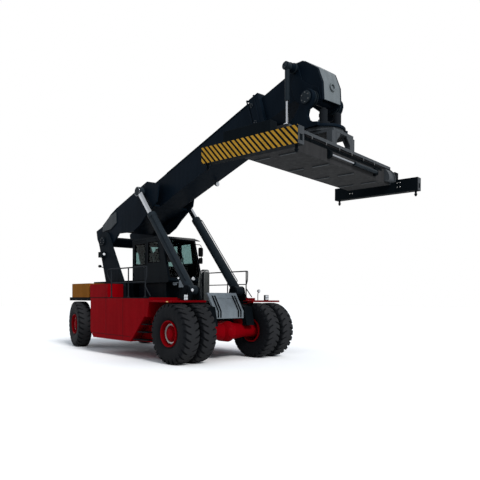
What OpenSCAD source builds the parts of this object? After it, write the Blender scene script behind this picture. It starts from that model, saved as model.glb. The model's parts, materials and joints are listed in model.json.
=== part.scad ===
// Reach stacker for loaded containers: a twin-tyred drive axle in front, a steered
// axle behind, a telescopic boom on two towers and a rotating container spreader.
// All sizes are millimetres. X points forward, Y to the driver's left and Z up from
// the floor. The outlines below are measured from the middle of the drive axle, and
// each part is then moved forward by drive_axle_x.

/* [Machine] */
// Distance between the drive axle and the steer axle
wheelbase = 6500; // [6400:10:6600]
// X of the drive axle, counted from the middle of the parked machine's length
drive_axle_x = 1230; // [1200:5:1260]
// Width over the side panels
body_w = 4100; // [4060:10:4160]
// Height of the walkway deck above the floor
deck_z = 1810; // [1800:5:1840]
// Outer faces of the two chassis girders
girder_w = 1740; // [1700:10:1780]
// Width of one chassis girder
girder_t = 310; // [260:5:330]
// Thickness of the deck, fender and cover plates
sheet_t = 25; // [12:1:30]

/* [Wheels] */
// Outer diameter of every tyre
tyre_d = 1660; // [1620:5:1680]
// Section width of a tyre
tyre_w = 500; // [470:5:520]
// Diameter over the rim flanges
rim_d = 800; // [740:5:840]
// Gap between the two tyres of a drive wheel pair
twin_gap = 90; // [70:5:110]
// Distance from the centre plane to the middle of a drive wheel pair
drive_track = 1530; // [1520:5:1550]
// Distance from the centre plane to a steered wheel
steer_track = 1380; // [1370:5:1400]
// Distance from the centre plane to a kingpin
kingpin_y = 960; // [950:5:970]
// Steering angle of the rear wheels as parked
steer_rest = -12; // [-20:1:0]

/* [Boom] */
// Boom pivot behind the drive axle
pivot_back = 5750; // [5700:10:5800]
// Height of the boom pivot
pivot_z = 3850; // [3820:10:3900]
// Boom angle above level as parked
boom_angle = 17.5; // [15:0.5:20]
// Width of the outer boom box
boom_w = 840; // [820:5:860]
// Height of the outer boom box
boom_h = 860; // [840:5:880]
// Plate thickness of both boom boxes
boom_wall = 30; // [20:1:35]
// Space between the outer and the inner boom box, all round
boom_gap = 45; // [40:1:50]
// Distance from the pivot to the front of the outer boom's collar
outer_end = 8150; // [8100:10:8180]
// Distance from the pivot to the rear end of the inner boom as parked
inner_tail = 1500; // [1480:10:1560]
// Radius of the two boom pivot pins
pivot_pin_r = 110; // [90:5:120]
// Inner face of the two cheek plates that carry the boom
cheek_y = 700; // [695:1:705]
// Thickness of the cheek plates
cheek_t = 50; // [40:1:55]

/* [Lift cylinders] */
// Distance from the centre plane to each lift cylinder
lift_y = 900; // [895:1:905]
// Lower pin behind the drive axle
foot_back = 480; // [460:5:500]
// Height of the lower pin
foot_z = 2020; // [2010:5:2040]
// Upper pin along the boom from its pivot
lift_at = 2800; // [2780:5:2820]
// Upper pin above the boom's lower face
lift_up = 620; // [600:5:640]
// Outer radius of the barrels
barrel_r = 140; // [130:1:144]
// Radius of the rods
lift_rod_r = 95; // [85:1:100]
// Length of a barrel from its lower pin to the gland
barrel_l = 3200; // [3180:5:3220]

/* [Head and spreader] */
// Main pin of the spreader yoke in front of the drive axle
head_x = 3500; // [3480:5:3520]
// Height of the main pin as parked
head_z = 6520; // [6500:5:6540]
// Inner face of the yoke's two arms
yoke_y = 480; // [475:1:485]
// Thickness of the yoke's arms
yoke_t = 100; // [80:5:100]
// Turn of the spreader about the vertical as parked
spreader_turn = 8.5; // [0:0.5:12]
// Side shift of the spreader as parked
side_shift = 60; // [0:5:70]
// Length of the spreader over its end beams, drawn in to the short container
spreader_l = 6060; // [6050:5:6070]
// Length of the two end beams
end_beam_l = 2440; // [2430:1:2450]
// Width of the spreader's main beam
main_beam_w = 1200; // [1180:10:1220]
// Length of the main beam
main_beam_l = 4900; // [4860:10:4940]
// Height of the twistlock tips above the floor as parked
tip_z = 4560; // [4540:5:4580]
// Container corner pattern along the spreader
lock_l = 5853; // [5853:1:5853]
// Container corner pattern across the spreader
lock_w = 2259; // [2259:1:2259]

/* [Cab] */
// Rear wall of the cab behind the drive axle
cab_back = 4050; // [4040:5:4070]
// Length of the cab at floor level
cab_l = 2100; // [2080:5:2120]
// Width of the cab
cab_w = 1360; // [1340:5:1370]
// Height of the cab floor's underside
cab_floor_z = 2290; // [2280:5:2310]
// Height of the cab roof's top
cab_top_z = 3780; // [3770:5:3790]
// Thickness of the cab walls and of a door
cab_wall = 50; // [40:1:60]

/* [Hidden] */
$fn = 48;
// Clearance of a pin in its eye, and of two faces that slide
pin_gap = 0.1;
seat_gap = 0.3;
tyre_r = tyre_d / 2;
// Tow pin behind the frame, and the lashing eye in each girder's front end
tow_x = -7340;
tow_z = [1300, 1440];
tow_r = 30;
lash_eye = [240, 1080];
lash_r = 35;
girder_top = 1640;
foot_top = girder_top + 70;
// Top of the rear frame, clear of the steered tyres
rear_z = tyre_d + 40;
girder_y = girder_w / 2;
half_w = body_w / 2;
cab_side = cab_w / 2;
boom_foot = [-pivot_back, pivot_z];
inner_w = boom_w - 2 * boom_wall - 2 * boom_gap;
inner_h = boom_h - 2 * boom_wall - 2 * boom_gap;
// Lift cylinder pins as parked, in the X-Z plane
foot = [-foot_back, foot_z];
lift_pin = boom_foot + [lift_at * cos(boom_angle) - lift_up * sin(boom_angle),
                        lift_at * sin(boom_angle) + lift_up * cos(boom_angle)];
lift_l = norm(lift_pin - foot);
cheek_out = cheek_y + cheek_t;
eye_half = 100;
lift_tilt = atan2(lift_pin[1] - foot[1], lift_pin[0] - foot[0]);
// Main pin in the boom's own frame
head_rel = [head_x, head_z] - boom_foot;
head_along = head_rel[0] * cos(boom_angle) + head_rel[1] * sin(boom_angle);
head_up = -head_rel[0] * sin(boom_angle) + head_rel[1] * cos(boom_angle);
// Damper pins beside the head, in the X-Z plane as parked
ear = [head_x - 540, head_z + 890];
lug = [head_x - 530, head_z - 570];
damper_l = norm(lug - ear);
damper_tilt = atan2(lug[1] - ear[1], lug[0] - ear[0]);
yoke_out = yoke_y + yoke_t;
damper_half = 70;
damper_y = yoke_out + 5 + damper_half;
// Levels of the spreader, counted from the twistlock tips
beam_bottom = tip_z + 300;
beam_top = tip_z + 770;
table_top = tip_z + 1150;
yoke_bottom = table_top + 90;
end_bottom = tip_z + 140;
end_top = tip_z + 490;
beam_half = main_beam_w / 2;
arm_w = 420;
arm_bottom = beam_bottom + 60;
arm_top = beam_top - 60;

// Places a part that is drawn from the drive axle
module at_axle() translate([drive_axle_x, 0, 0]) children();

// Places a part that is drawn in the boom's own frame
module on_boom() at_axle() translate([-pivot_back, 0, pivot_z]) rotate([0, -boom_angle, 0]) children();

// Places a part that is drawn from the middle of the spreader, X' across, Y' along it
module on_spreader(shift = side_shift)
    at_axle() translate([head_x, 0, 0]) rotate([0, 0, spreader_turn]) translate([0, shift, 0]) children();

// Draws the children on the left, and mirrored on the right
module both_sides() {
    children();
    mirror([0, 1, 0]) children();
}

// Draws a left part on the given side, 1 for left and -1 for right
module on_side(side) {
    if (side > 0) children();
    else mirror([0, 1, 0]) children();
}

// Plate of an X-Z outline between two Y values
module side_plate(points, y0, y1)
    translate([0, y1, 0]) rotate([90, 0, 0]) linear_extrude(y1 - y0) polygon(points);

// Bar along Y between two Y values
module bar_y(r, y0, y1)
    translate([0, y0, 0]) rotate([-90, 0, 0]) cylinder(h = y1 - y0, r = r);

// Bar along Y at an X-Z point
module pin_at(point, r, y0, y1) translate([point[0], 0, point[1]]) bar_y(r, y0, y1);

// Block between two corners
module block(low, high) translate(low) cube(high - low);

// Block that is mirrored about the centre plane
module wide_block(x0, x1, y, z0, z1) block([x0, -y, z0], [x1, y, z1]);

module chassis_frame() color("#2a2e33") at_axle() {
    front = [[330, 1000], [200, 1540], [-200, girder_top], [-5400, girder_top], [-5400, 900], [-4700, 720],
             [-900, 720], [-560, 1000], [-300, 1180], [120, 1180], [150, 1000]];
    both_sides() difference() {
        side_plate(front, girder_y - girder_t, girder_y);
        pin_at(lash_eye, lash_r, girder_y - girder_t - 10, girder_y + 10);
    }
    // Jaw for the tow pin
    difference() {
        union() for (z = tow_z) wide_block(-7420, -7250, 120, z, z + 40);
        translate([tow_x, 0, tow_z[0] - 10]) cylinder(h = tow_z[1] - tow_z[0] + 60, r = tow_r);
    }
    // Cross members: X from, X to, Z from, Z to
    for (c = [[-950, -700, 900, 1560], [-3800, -3600, 900, 1560], [-5400, -5250, 900, 1560]])
        wide_block(c[0], c[1], girder_y - girder_t + 5, c[2], c[3]);
    // Rear frame over the steer axle, its platform and the shelves beside the towers
    wide_block(-7250, -5400, 420, 1250, rear_z);
    wide_block(-7250, -5450, 1480, rear_z - 10, deck_z);
    both_sides() block([-5460, cheek_out + 135, rear_z - 10], [-4460, 1480, deck_z]);
}

module nose_plate() color("#5a6168") at_axle() {
    side_plate([[180, 1420], [-60, 1790], [-100, 1790], [-100, 1740], [120, 1400], [120, 1210], [180, 1210]], -560, 560);
}

module drive_axle() color("#a80f1e") at_axle() translate([0, 0, tyre_r]) {
    rotate([0, 90, 0]) rotate_extrude()
        polygon([[0, -300], [250, -300], [300, -200], [300, 120], [230, 240], [170, 330], [90, 380], [0, 390]]);
    both_sides() translate([0, 0, 0]) rotate([-90, 0, 0]) {
        cylinder(h = 700, r1 = 280, r2 = 190);
        translate([0, 0, 690]) cylinder(h = drive_hub_y() - seat_gap - 690, r = 190);
    }
    // Seats that carry the chassis girders
    both_sides() block([-260, girder_y - girder_t, 100], [100, girder_y - 40, 350 - seat_gap]);
}

function drive_hub_y() = drive_track - twin_gap / 2 - tyre_w;

module steer_axle() color("#a80f1e") at_axle() translate([-wheelbase, 0, tyre_r]) {
    wide_block(-170, 170, kingpin_y - 200, -150, 150);
    both_sides() for (z = [-215, 150]) hull() {
        translate([0, kingpin_y, z]) cylinder(h = 65, r = 120, $fn = 32);
        translate([-150, kingpin_y - 260, z]) cube([300, 60, 65]);
    }
    wide_block(-150, 150, 300, 150, 420 - seat_gap);
}

module counterweight() color("#7a4a12") at_axle() difference() {
    translate([0, 0, deck_z]) linear_extrude(500)
        polygon([[-5640, -1500], [-7000, -1500], [-7600, -900], [-7600, 900], [-7000, 1500], [-5640, 1500]]);
    wide_block(-7100, -5600, 640, deck_z - 10, deck_z + 510);
}

module side_tanks() color("#a80f1e") at_axle() both_sides() difference() {
    side_plate([[-4460, deck_z - sheet_t], [-4460, 700], [-4260, 500], [-1060, 500], [-1020, 1300],
                [-900, deck_z - sheet_t]], girder_y, half_w);
    // Recess of the boarding steps
    side_plate([[-1930, step_top - 770], [-1000, step_top - 770], [-1000, step_top], [-1180, step_top]],
               half_w - step_depth, half_w + 10);
}

module front_fenders() color("#b0101f") at_axle() both_sides() {
    block([-190, girder_y + 20, foot_top], [207, half_w + 20, foot_top + sheet_t]);
    block([-880, lift_y + 205, foot_top], [-180, half_w + 20, foot_top + sheet_t]);
    block([-900, lift_y + 205, foot_top], [-875, half_w + 20, deck_z]);
}

module deck_plates() color("#24282c") at_axle() both_sides() difference() {
    block([-4460, girder_y - girder_t, deck_z - sheet_t], [-900, half_w, deck_z]);
    // Cut-outs round the tower and the hood
    block([-4470, 500, deck_z - 100], [-4290, cheek_out + 135, deck_z + 10]);
    block([-4300, 500, deck_z - 100], [-4140, 610, deck_z + 10]);
}

module engine_hood() color("#30363c") at_axle() difference() {
    union() {
        wide_block(-7000, -4150, 600, deck_z, 2400);
        wide_block(-5400, -4150, 600, girder_top, deck_z + 10);
    }
    wide_block(-6975, -4175, 575, deck_z - 10, 2375);
    wide_block(-5410, -4175, 575, girder_top - 10, deck_z + 20);
}

module engine_block() color("#3c4146") at_axle() {
    wide_block(-5240, -3900, 400, 1000, 1600);
    for (x = [-5000, -4200]) wide_block(x, x + 150, girder_y - girder_t, 1100, 1160);
}

module rear_lockers() color("#a80f1e") at_axle() both_sides()
    block([-5560, 900, deck_z], [-4300, 1500, 2270]);

module handrails() color("#202428") at_axle() both_sides() {
    // Posts: X, top Z
    for (p = [[-3170, 2700], [-2150, 2700], [-1220, 2700]])
        translate([p[0], half_w - 60, deck_z]) cylinder(h = p[1] - deck_z, r = 20, $fn = 16);
    translate([-3190, half_w - 60, 2700]) rotate([0, 90, 0]) cylinder(h = 1990, r = 20, $fn = 16);
}

// Recess of the boarding steps in the side tanks
step_top = 1260;
step_depth = 320;

module boarding_steps() color("#1b1e21") at_axle() both_sides()
    for (z = [560, 790, 1020])
        block([-1160 - (step_top - z - 30) * 750 / 770, half_w - step_depth, z], [-1080, half_w - 20, z + 30]);

module headlamps() color("#d8dadc") at_axle() both_sides()
    block([90, 1500, 1735], [150, 1640, 1870 + 30]);

module boom_towers() color("#23282e") at_axle() both_sides() {
    side_plate([[-6090, 3780], [-5530, 2250], [-5400, 1640], [-4300, 1640], [-4300, 2200], [-5480, 4070]],
               cheek_out + 15, girder_y);
    pin_at(boom_foot, 350, cheek_out + 15, girder_y);
    pin_at(boom_foot, pivot_pin_r, cheek_y + seat_gap, cheek_out + 150);
    pin_at(boom_foot, 170, cheek_out + seat_gap, cheek_out + 20);
}

module cylinder_feet() color("#23282e") at_axle() both_sides() {
    block([-910, girder_y - girder_t, girder_top], [-270, 1150, foot_top]);
    for (y = [lift_y - 200, lift_y + 156]) {
        side_plate([[-760, foot_top - 10], [-275, foot_top - 10], [foot[0] + 150, foot[1]], [foot[0] - 150, foot[1]]],
                   y, y + 44);
        pin_at(foot, 150, y, y + 44);
    }
    pin_at(foot, 70, lift_y - 210, lift_y + 210);
}

module cab_shell() color("#262b31") at_axle() {
    front = -cab_back + cab_l;
    difference() {
        side_plate([[-cab_back, cab_floor_z], [front, cab_floor_z], [front + 40, cab_floor_z + 60],
                    [front - 380, cab_top_z], [-cab_back, cab_top_z]], -cab_side, cab_side);
        side_plate([[-cab_back + cab_wall, cab_floor_z + 60], [front - cab_wall, cab_floor_z + 60],
                    [front - 380 - cab_wall, cab_top_z - 60], [-cab_back + cab_wall, cab_top_z - 60]],
                   -cab_side + cab_wall, cab_side - cab_wall);
        // Windscreen
        side_plate([[front - 200, cab_floor_z + 160], [front + 100, cab_floor_z + 160],
                    [front - 200, cab_top_z - 120], [front - 500, cab_top_z - 120]], -cab_side + 80, cab_side - 80);
        // Side windows ahead of the doors
        side_plate(side_window, -cab_side - 10, cab_side + 10);
        // Rear window
        block([-cab_back - 10, -cab_side + 120, 2950], [-cab_back + cab_wall + 10, cab_side - 120, 3600]);
        // Door openings
        side_plate(door_outline(0), -cab_side - 10, cab_side + 10);
    }
    // Hinge barrels under and over those of the doors
    both_sides() for (z = hinge_z, end = [-40 - seat_gap, 60 + seat_gap])
        translate([hinge_x, cab_side + 12, z + end]) cylinder(h = 40, r = 13);
    // Pedestal that carries the cab on the chassis
    wide_block(-3900, -2300, 500, girder_top, cab_floor_z + 5);
    wide_block(-3900, -2300, 640, girder_top, girder_top + 60);
}

hinge_x = -4000;
hinge_z = [2500, 3370];

side_window = [[-3080, 2950], [-2400, 2950], [-2520, 3620], [-3080, 3620]];
door_window = [[-3900, 2900], [-3250, 2900], [-3250, 3600], [-3900, 3600]];

function door_outline(inset) = [[-3990 + inset, 2370 + inset], [-3160 - inset, 2370 + inset],
    [-3160 - inset, 3680 - inset], [-3990 + inset, 3680 - inset]];

module cab_glass() color("#8fa3ad", 0.4) at_axle() {
    both_sides() side_plate(side_window, cab_side - 30, cab_side - 22);
    block([-cab_back + 20, -cab_side + 120, 2950], [-cab_back + 28, cab_side - 120, 3600]);
    low = cab_floor_z + 160;
    high = cab_top_z - 120;
    side_plate([[screen_x(low) - 30, low], [screen_x(low) - 20, low], [screen_x(high) - 20, high], [screen_x(high) - 30, high]],
               -cab_side + 80, cab_side - 80);
}

// X of the sloping front face at a height
function screen_x(z) = -cab_back + cab_l + 40 - (z - cab_floor_z - 60) * 420 / (cab_top_z - cab_floor_z - 60);

module driver_seat() color("#1c1e20") at_axle() {
    block([-3500, -240, 2750], [-3000, 240, 2870]);
    translate([-3500, -240, 2850]) cube([120, 480, 620]);
    wide_block(-3400, -3100, 150, cab_floor_z + 60, 2760);
}

module cab_door(side) color("#262b31") at_axle() on_side(side) {
    difference() {
        side_plate(door_outline(6), cab_side - cab_wall, cab_side);
        side_plate(door_window, cab_side - cab_wall - 10, cab_side + 10);
    }
    for (z = hinge_z) {
        translate([hinge_x, cab_side + 12, z]) cylinder(h = 60, r = 12 - seat_gap);
        block([hinge_x, cab_side + seat_gap, z], [-3940, cab_side + 10, z + 60]);
        block([-3975, cab_side - 5, z], [-3940, cab_side + 10, z + 60]);
    }
}
module cab_door_left() cab_door(1);
module cab_door_right() cab_door(-1);

module door_glass(side) color("#8fa3ad", 0.4) at_axle() on_side(side) side_plate(door_window, cab_side - 30, cab_side - 22);
module door_glass_left() door_glass(1);
module door_glass_right() door_glass(-1);

// Tyre carcass and tread, its axis along Y and its middle at the origin
module tyre() {
    r = tyre_r;
    w = tyre_w / 2;
    rim = rim_d / 2 - 40;
    rotate([-90, 0, 0]) rotate_extrude($fn = 64)
        polygon([[rim, -w + 60], [rim + 60, -w + 20], [r - 220, -w], [r - 60, -w + 15], [r - 10, -w + 45],
                 [r, -w + 110], [r, w - 110], [r - 10, w - 45], [r - 60, w - 15], [r - 220, w],
                 [rim + 60, w - 20], [rim, w - 60]]);
}

// Rim of one tyre with its disc, the disc at disc_y and the hub from hub0 to hub1
module rim(disc_y, hub0, hub1) {
    r = rim_d / 2;
    seat = r - 40 - seat_gap;
    w = tyre_w / 2;
    rotate([-90, 0, 0]) {
        rotate_extrude() polygon([[r - 75, -w + 30], [seat, -w + 30], [seat, w - 30], [r - 75, w - 30]]);
        translate([0, 0, disc_y]) cylinder(h = 40, r = r - 70);
        translate([0, 0, hub0]) cylinder(h = hub1 - hub0, r = 190);
    }
}

module drive_tyres(side) color("#15171a") at_axle() translate([0, side * drive_track, tyre_r])
    for (y = [-1, 1]) translate([0, y * (tyre_w + twin_gap) / 2, 0]) tyre();
module drive_tyres_left() drive_tyres(1);
module drive_tyres_right() drive_tyres(-1);

module drive_rims(side) color("#a80f1e") at_axle() on_side(side) translate([0, drive_track, tyre_r]) {
    step = (tyre_w + twin_gap) / 2;
    translate([0, -step, 0]) rim(180, -tyre_w / 2, 2 * step);
    translate([0, step, 0]) rim(60, -tyre_w / 2, 150);
}
module drive_rims_left() drive_rims(1);
module drive_rims_right() drive_rims(-1);

// Places a left part that turns with its kingpin
module steered(side) at_axle() translate([-wheelbase, side * kingpin_y, tyre_r]) rotate([0, 0, steer_rest])
    translate([0, side * (steer_track - kingpin_y), 0]) on_side(side) children();

module knuckle(side) color("#2a2e33") steered(side) {
    inner = kingpin_y - steer_track;
    translate([0, inner, -150 + seat_gap]) cylinder(h = 300 - 2 * seat_gap, r = 115);
    bar_y(110, inner, -150 - seat_gap);
    bar_y(170, inner + 120, -150 - seat_gap);
}
module knuckle_left() knuckle(1);
module knuckle_right() knuckle(-1);

module steer_tyre(side) color("#15171a") steered(side) tyre();
module steer_tyre_left() steer_tyre(1);
module steer_tyre_right() steer_tyre(-1);

module steer_rim(side) color("#a80f1e") steered(side) rim(60, -150, 160);
module steer_rim_left() steer_rim(1);
module steer_rim_right() steer_rim(-1);

module boom_root() color("#1f252b") on_boom() {
    cheek = [[-620, 330], [-600, 650], [-40, 640], [580, 820], [1000, boom_h], [3100, boom_h], [3700, 500],
             [3400, 0], [2640, -190], [2290, -320], [1830, -360], [1460, -250], [910, -60], [500, -230],
             [0, -300], [-450, -180]];
    both_sides() {
        difference() {
            union() {
                side_plate(cheek, cheek_y, cheek_out);
                pin_at([lift_at, lift_up], 120, cheek_out, lift_y - eye_half - seat_gap);
            }
            pin_at([0, 0], pivot_pin_r + pin_gap, cheek_y - 10, cheek_out + 10);
        }
        block([900, boom_w / 2, boom_h - 60], [3100, cheek_y + 5, boom_h]);
        block([900, boom_w / 2, 0], [3100, cheek_y + 5, 60]);
    }
    pin_at([0, 0], 180, -cheek_y, cheek_y);
}

module boom_outer() color("#1f252b") on_boom() {
    w = boom_w / 2;
    difference() {
        union() {
            block([900, -w, 0], [outer_end - 100, w, boom_h]);
            block([outer_end - 350, -w - 45, -45], [outer_end, w + 45, boom_h + 50]);
        }
        block([800, -w + boom_wall, boom_wall], [outer_end - 200, w - boom_wall, boom_h - boom_wall]);
        block([outer_end - 300, -inner_w / 2 - seat_gap, boom_wall + boom_gap - seat_gap],
              [outer_end + 10, inner_w / 2 + seat_gap, boom_h - boom_wall - boom_gap + seat_gap]);
    }
}

module boom_inner() color("#262d34") on_boom() difference() {
    z0 = boom_wall + boom_gap;
    pad = boom_gap - seat_gap;
    union() {
        block([inner_tail, -inner_w / 2, z0], [head_along - 500 - seat_gap, inner_w / 2, z0 + inner_h]);
        // Slide pads at the tail
        block([inner_tail, -inner_w / 2 - pad, z0 - pad], [inner_tail + 250, inner_w / 2 + pad, z0 + inner_h + pad]);
    }
    block([inner_tail - 10, -inner_w / 2 + boom_wall, z0 + boom_wall],
          [head_along - 540, inner_w / 2 - boom_wall, z0 + inner_h - boom_wall]);
}

module boom_head() color("#262d34") {
    on_boom() {
        a = head_along;
        u = head_up;
        outline = [[a - 500, u + 300], [a - 500, u + 1020], [a - 300, u + 1180], [a + 20, u + 1070],
                   [a + 340, u + 650], [a + 370, u + 250], [a + 270, u - 150], [a - 200, u - 150]];
        both_sides() difference() {
            side_plate(outline, inner_w / 2 - 40, inner_w / 2 + 15);
        }
        side_plate([[a + 20, u + 1070], [a + 340, u + 650], [a + 370, u + 250], [a + 270, u - 150],
                    [a + 250, u - 150], [a + 345, u + 250], [a + 315, u + 640], [a, u + 1050]],
                   -inner_w / 2 + 40, inner_w / 2 - 40);
        block([a - 500, -inner_w / 2 + 40, u + 300], [a - 440, inner_w / 2 - 40, u + 1000]);
    }
    at_axle() {
        pin_at([head_x, head_z], 90, -yoke_out - 20, yoke_out + 20);
        both_sides() {
            pin_at([head_x, head_z], 170, inner_w / 2 + 10, yoke_y - seat_gap);
            pin_at(ear, 110, inner_w / 2 + 10, damper_y - damper_half - seat_gap);
            pin_at(ear, 40, damper_y - damper_half - 5, damper_y + damper_half + 5);
        }
    }
}

// Places a left lift cylinder with its axis along X from the lower pin
module on_lift(side) at_axle() translate([foot[0], side * lift_y, foot[1]]) rotate([0, -lift_tilt, 0]) children();

module lift_barrel(side) color("#3a4148") on_lift(side) difference() {
    union() {
        rotate([0, 90, 0]) cylinder(h = barrel_l - 60, r = barrel_r);
        translate([barrel_l - 160, 0, 0]) rotate([0, 90, 0]) cylinder(h = 160, r = barrel_r + 8);
        bar_y(150, -140, 140);
    }
    bar_y(70 + pin_gap, -200, 200);
    translate([170, 0, 0]) rotate([0, 90, 0]) cylinder(h = barrel_l - 220, r = barrel_r - 25);
    translate([200, 0, 0]) rotate([0, 90, 0]) cylinder(h = barrel_l, r = lift_rod_r + pin_gap);
}
module lift_barrel_left() lift_barrel(1);
module lift_barrel_right() lift_barrel(-1);

module lift_rod(side) color("#c9ced2") on_lift(side) {
    translate([1040, 0, 0]) rotate([0, 90, 0]) cylinder(h = lift_l - 1040, r = lift_rod_r);
    translate([1040, 0, 0]) rotate([0, 90, 0]) cylinder(h = 40, r = barrel_r - 25 - 5);
    translate([lift_l, 0, 0]) bar_y(150, -eye_half, eye_half);
}
module lift_rod_left() lift_rod(1);
module lift_rod_right() lift_rod(-1);

// Places both dampers with their axes along X from the ear pins
module on_dampers() at_axle() both_sides() translate([ear[0], damper_y, ear[1]]) rotate([0, -damper_tilt, 0]) children();

module damper_barrels() color("#3a4148") on_dampers() difference() {
    union() {
        rotate([0, 90, 0]) cylinder(h = 840, r = 58);
        bar_y(100, -damper_half, damper_half);
    }
    bar_y(40 + pin_gap, -damper_half - 10, damper_half + 10);
    translate([90, 0, 0]) rotate([0, 90, 0]) cylinder(h = 730, r = 46);
    translate([90, 0, 0]) rotate([0, 90, 0]) cylinder(h = 800, r = 30 + pin_gap);
}

module damper_rods() color("#c9ced2") on_dampers() {
    translate([570, 0, 0]) rotate([0, 90, 0]) cylinder(h = damper_l - 570, r = 30);
    translate([570, 0, 0]) rotate([0, 90, 0]) cylinder(h = 40, r = 43);
    translate([damper_l, 0, 0]) bar_y(75, -damper_half, damper_half);
}

module yoke() color("#23292f") at_axle() {
    both_sides() difference() {
        union() {
            side_plate([[head_x - 190, head_z], [head_x + 190, head_z], [head_x + 330, yoke_bottom], [head_x - 450, yoke_bottom]],
                       yoke_y, yoke_out);
            pin_at([head_x, head_z], 190, yoke_y, yoke_out);
            side_plate([[lug[0] - 90, lug[1]], [lug[0], lug[1] + 90], [head_x - 100, head_z - 200], [head_x - 100, yoke_bottom],
                        [lug[0], yoke_bottom]], yoke_y, yoke_out);
            pin_at(lug, 90, yoke_y, damper_y - damper_half - seat_gap);
        }
        pin_at([head_x, head_z], 90 + pin_gap, yoke_y - 10, yoke_out + 10);
    }
    translate([head_x, 0, yoke_bottom]) cylinder(h = 70, r = 560);
}

module rotator_motors() color("#2c3238") at_axle() both_sides()
    translate([head_x + 250, 260, yoke_bottom + 70]) {
        cylinder(h = 60, r = 150);
        cylinder(h = 330, r = 95);
    }

module slew_table() color("#4d555c") on_spreader(0) {
    translate([0, 0, table_top]) cylinder(h = 90 - seat_gap, r = 520);
    block([-beam_half + 20, -480, table_top - 70], [beam_half - 20, 480, table_top]);
    for (x = [-1, 1], y = [-1, 1])
        translate([x * (beam_half - 90) - 70, y * 430 - 110, beam_top + seat_gap])
            cube([140, 220, table_top - 70 - beam_top - seat_gap]);
}

module spreader_beam() color("#3b4248") on_spreader() difference() {
    block([-beam_half, -main_beam_l / 2, beam_bottom], [beam_half, main_beam_l / 2, beam_top]);
    // Two slots for the telescoping arms, side by side, each tight at its mouths only: half length, clearance
    for (x = [-1, 1], s = [[main_beam_l / 2 + 10, seat_gap], [main_beam_l / 2 - 150, 5]])
        block([x * 290 - arm_w / 2 - s[1], -s[0], arm_bottom - s[1]], [x * 290 + arm_w / 2 + s[1], s[0], arm_top + s[1]]);
}

// One end beam with its arm, its outer face away from the middle
module end_beam(side) color("#1d2125") on_spreader() {
    y1 = spreader_l / 2;
    x = side * 290;
    block([x - arm_w / 2, side > 0 ? -1800 : -y1 + 100, arm_bottom], [x + arm_w / 2, side > 0 ? y1 - 100 : 1800, arm_top]);
    on_side(side) {
        block([-end_beam_l / 2, y1 - 220, end_bottom], [end_beam_l / 2, y1, end_top]);
        block([-beam_half, y1 - 220, end_bottom], [beam_half, y1, arm_top]);
        for (i = [-1, 1]) translate([i * lock_w / 2, lock_l / 2, 0]) {
            translate([0, 0, tip_z]) cylinder(h = 60, r1 = 20, r2 = 45);
            translate([0, 0, tip_z + 60]) cylinder(h = 100, r = 28);
        }
    }
}
module end_beam_left() end_beam(1);
module end_beam_right() end_beam(-1);

chassis_frame();
nose_plate();
drive_axle();
steer_axle();
counterweight();
side_tanks();
front_fenders();
deck_plates();
engine_hood();
engine_block();
rear_lockers();
boarding_steps();
handrails();
headlamps();
boom_towers();
cylinder_feet();
cab_shell();
cab_glass();
driver_seat();
cab_door_left();
cab_door_right();
door_glass_left();
door_glass_right();
drive_tyres_left();
drive_rims_left();
drive_tyres_right();
drive_rims_right();
knuckle_left();
knuckle_right();
steer_tyre_left();
steer_rim_left();
steer_tyre_right();
steer_rim_right();
boom_root();
boom_outer();
boom_inner();
boom_head();
lift_barrel_left();
lift_barrel_right();
lift_rod_left();
lift_rod_right();
damper_barrels();
damper_rods();
yoke();
rotator_motors();
slew_table();
spreader_beam();
end_beam_left();
end_beam_right();
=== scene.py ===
"""Finishes and fittings of a reach stacker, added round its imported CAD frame.

Every length is in metres in the frame's own axes: X forward, Y to the driver's left
and Z up from the floor. The frame gives the pivots and boxes of the CAD pieces, and
each class below dresses one sub-assembly or adds its fittings. A shape is a function
of two parameters on a grid, or a section carried along a path.
"""

import json
import logging
import math
from dataclasses import dataclass
from enum import Enum

import bmesh
import bpy
import numpy as np
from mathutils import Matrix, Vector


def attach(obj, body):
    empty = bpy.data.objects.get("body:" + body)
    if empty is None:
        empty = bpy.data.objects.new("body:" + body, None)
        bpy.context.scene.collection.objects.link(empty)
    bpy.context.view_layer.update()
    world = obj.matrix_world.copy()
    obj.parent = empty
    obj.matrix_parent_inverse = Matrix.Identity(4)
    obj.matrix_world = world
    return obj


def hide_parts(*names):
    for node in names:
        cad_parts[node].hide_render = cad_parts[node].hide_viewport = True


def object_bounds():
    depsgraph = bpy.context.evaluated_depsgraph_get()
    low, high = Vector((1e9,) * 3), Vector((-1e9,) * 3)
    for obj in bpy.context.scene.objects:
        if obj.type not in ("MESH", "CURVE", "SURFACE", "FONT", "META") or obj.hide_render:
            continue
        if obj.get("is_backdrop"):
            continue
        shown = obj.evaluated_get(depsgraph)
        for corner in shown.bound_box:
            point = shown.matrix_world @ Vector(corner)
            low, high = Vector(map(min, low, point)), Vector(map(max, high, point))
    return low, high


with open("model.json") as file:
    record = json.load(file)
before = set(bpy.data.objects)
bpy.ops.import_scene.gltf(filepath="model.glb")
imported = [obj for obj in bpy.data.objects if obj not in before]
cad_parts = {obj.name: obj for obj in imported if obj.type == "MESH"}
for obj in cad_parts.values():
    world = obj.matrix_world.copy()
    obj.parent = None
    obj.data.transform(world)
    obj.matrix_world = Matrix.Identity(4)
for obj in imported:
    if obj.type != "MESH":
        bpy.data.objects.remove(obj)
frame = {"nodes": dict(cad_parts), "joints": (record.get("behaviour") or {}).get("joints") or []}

LOG = logging.getLogger("reach_stacker")
Vec = tuple[float, float, float]
Pair = tuple[float, float]
Array = np.ndarray
ALONG: Vec = (1.0, 0.0, 0.0)
ACROSS: Vec = (0.0, 1.0, 0.0)
UP: Vec = (0.0, 0.0, 1.0)
RGBA_A, RGBA_B, RGBA_RESULT = 6, 7, 2  # a Mix node's sockets for colours


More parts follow.
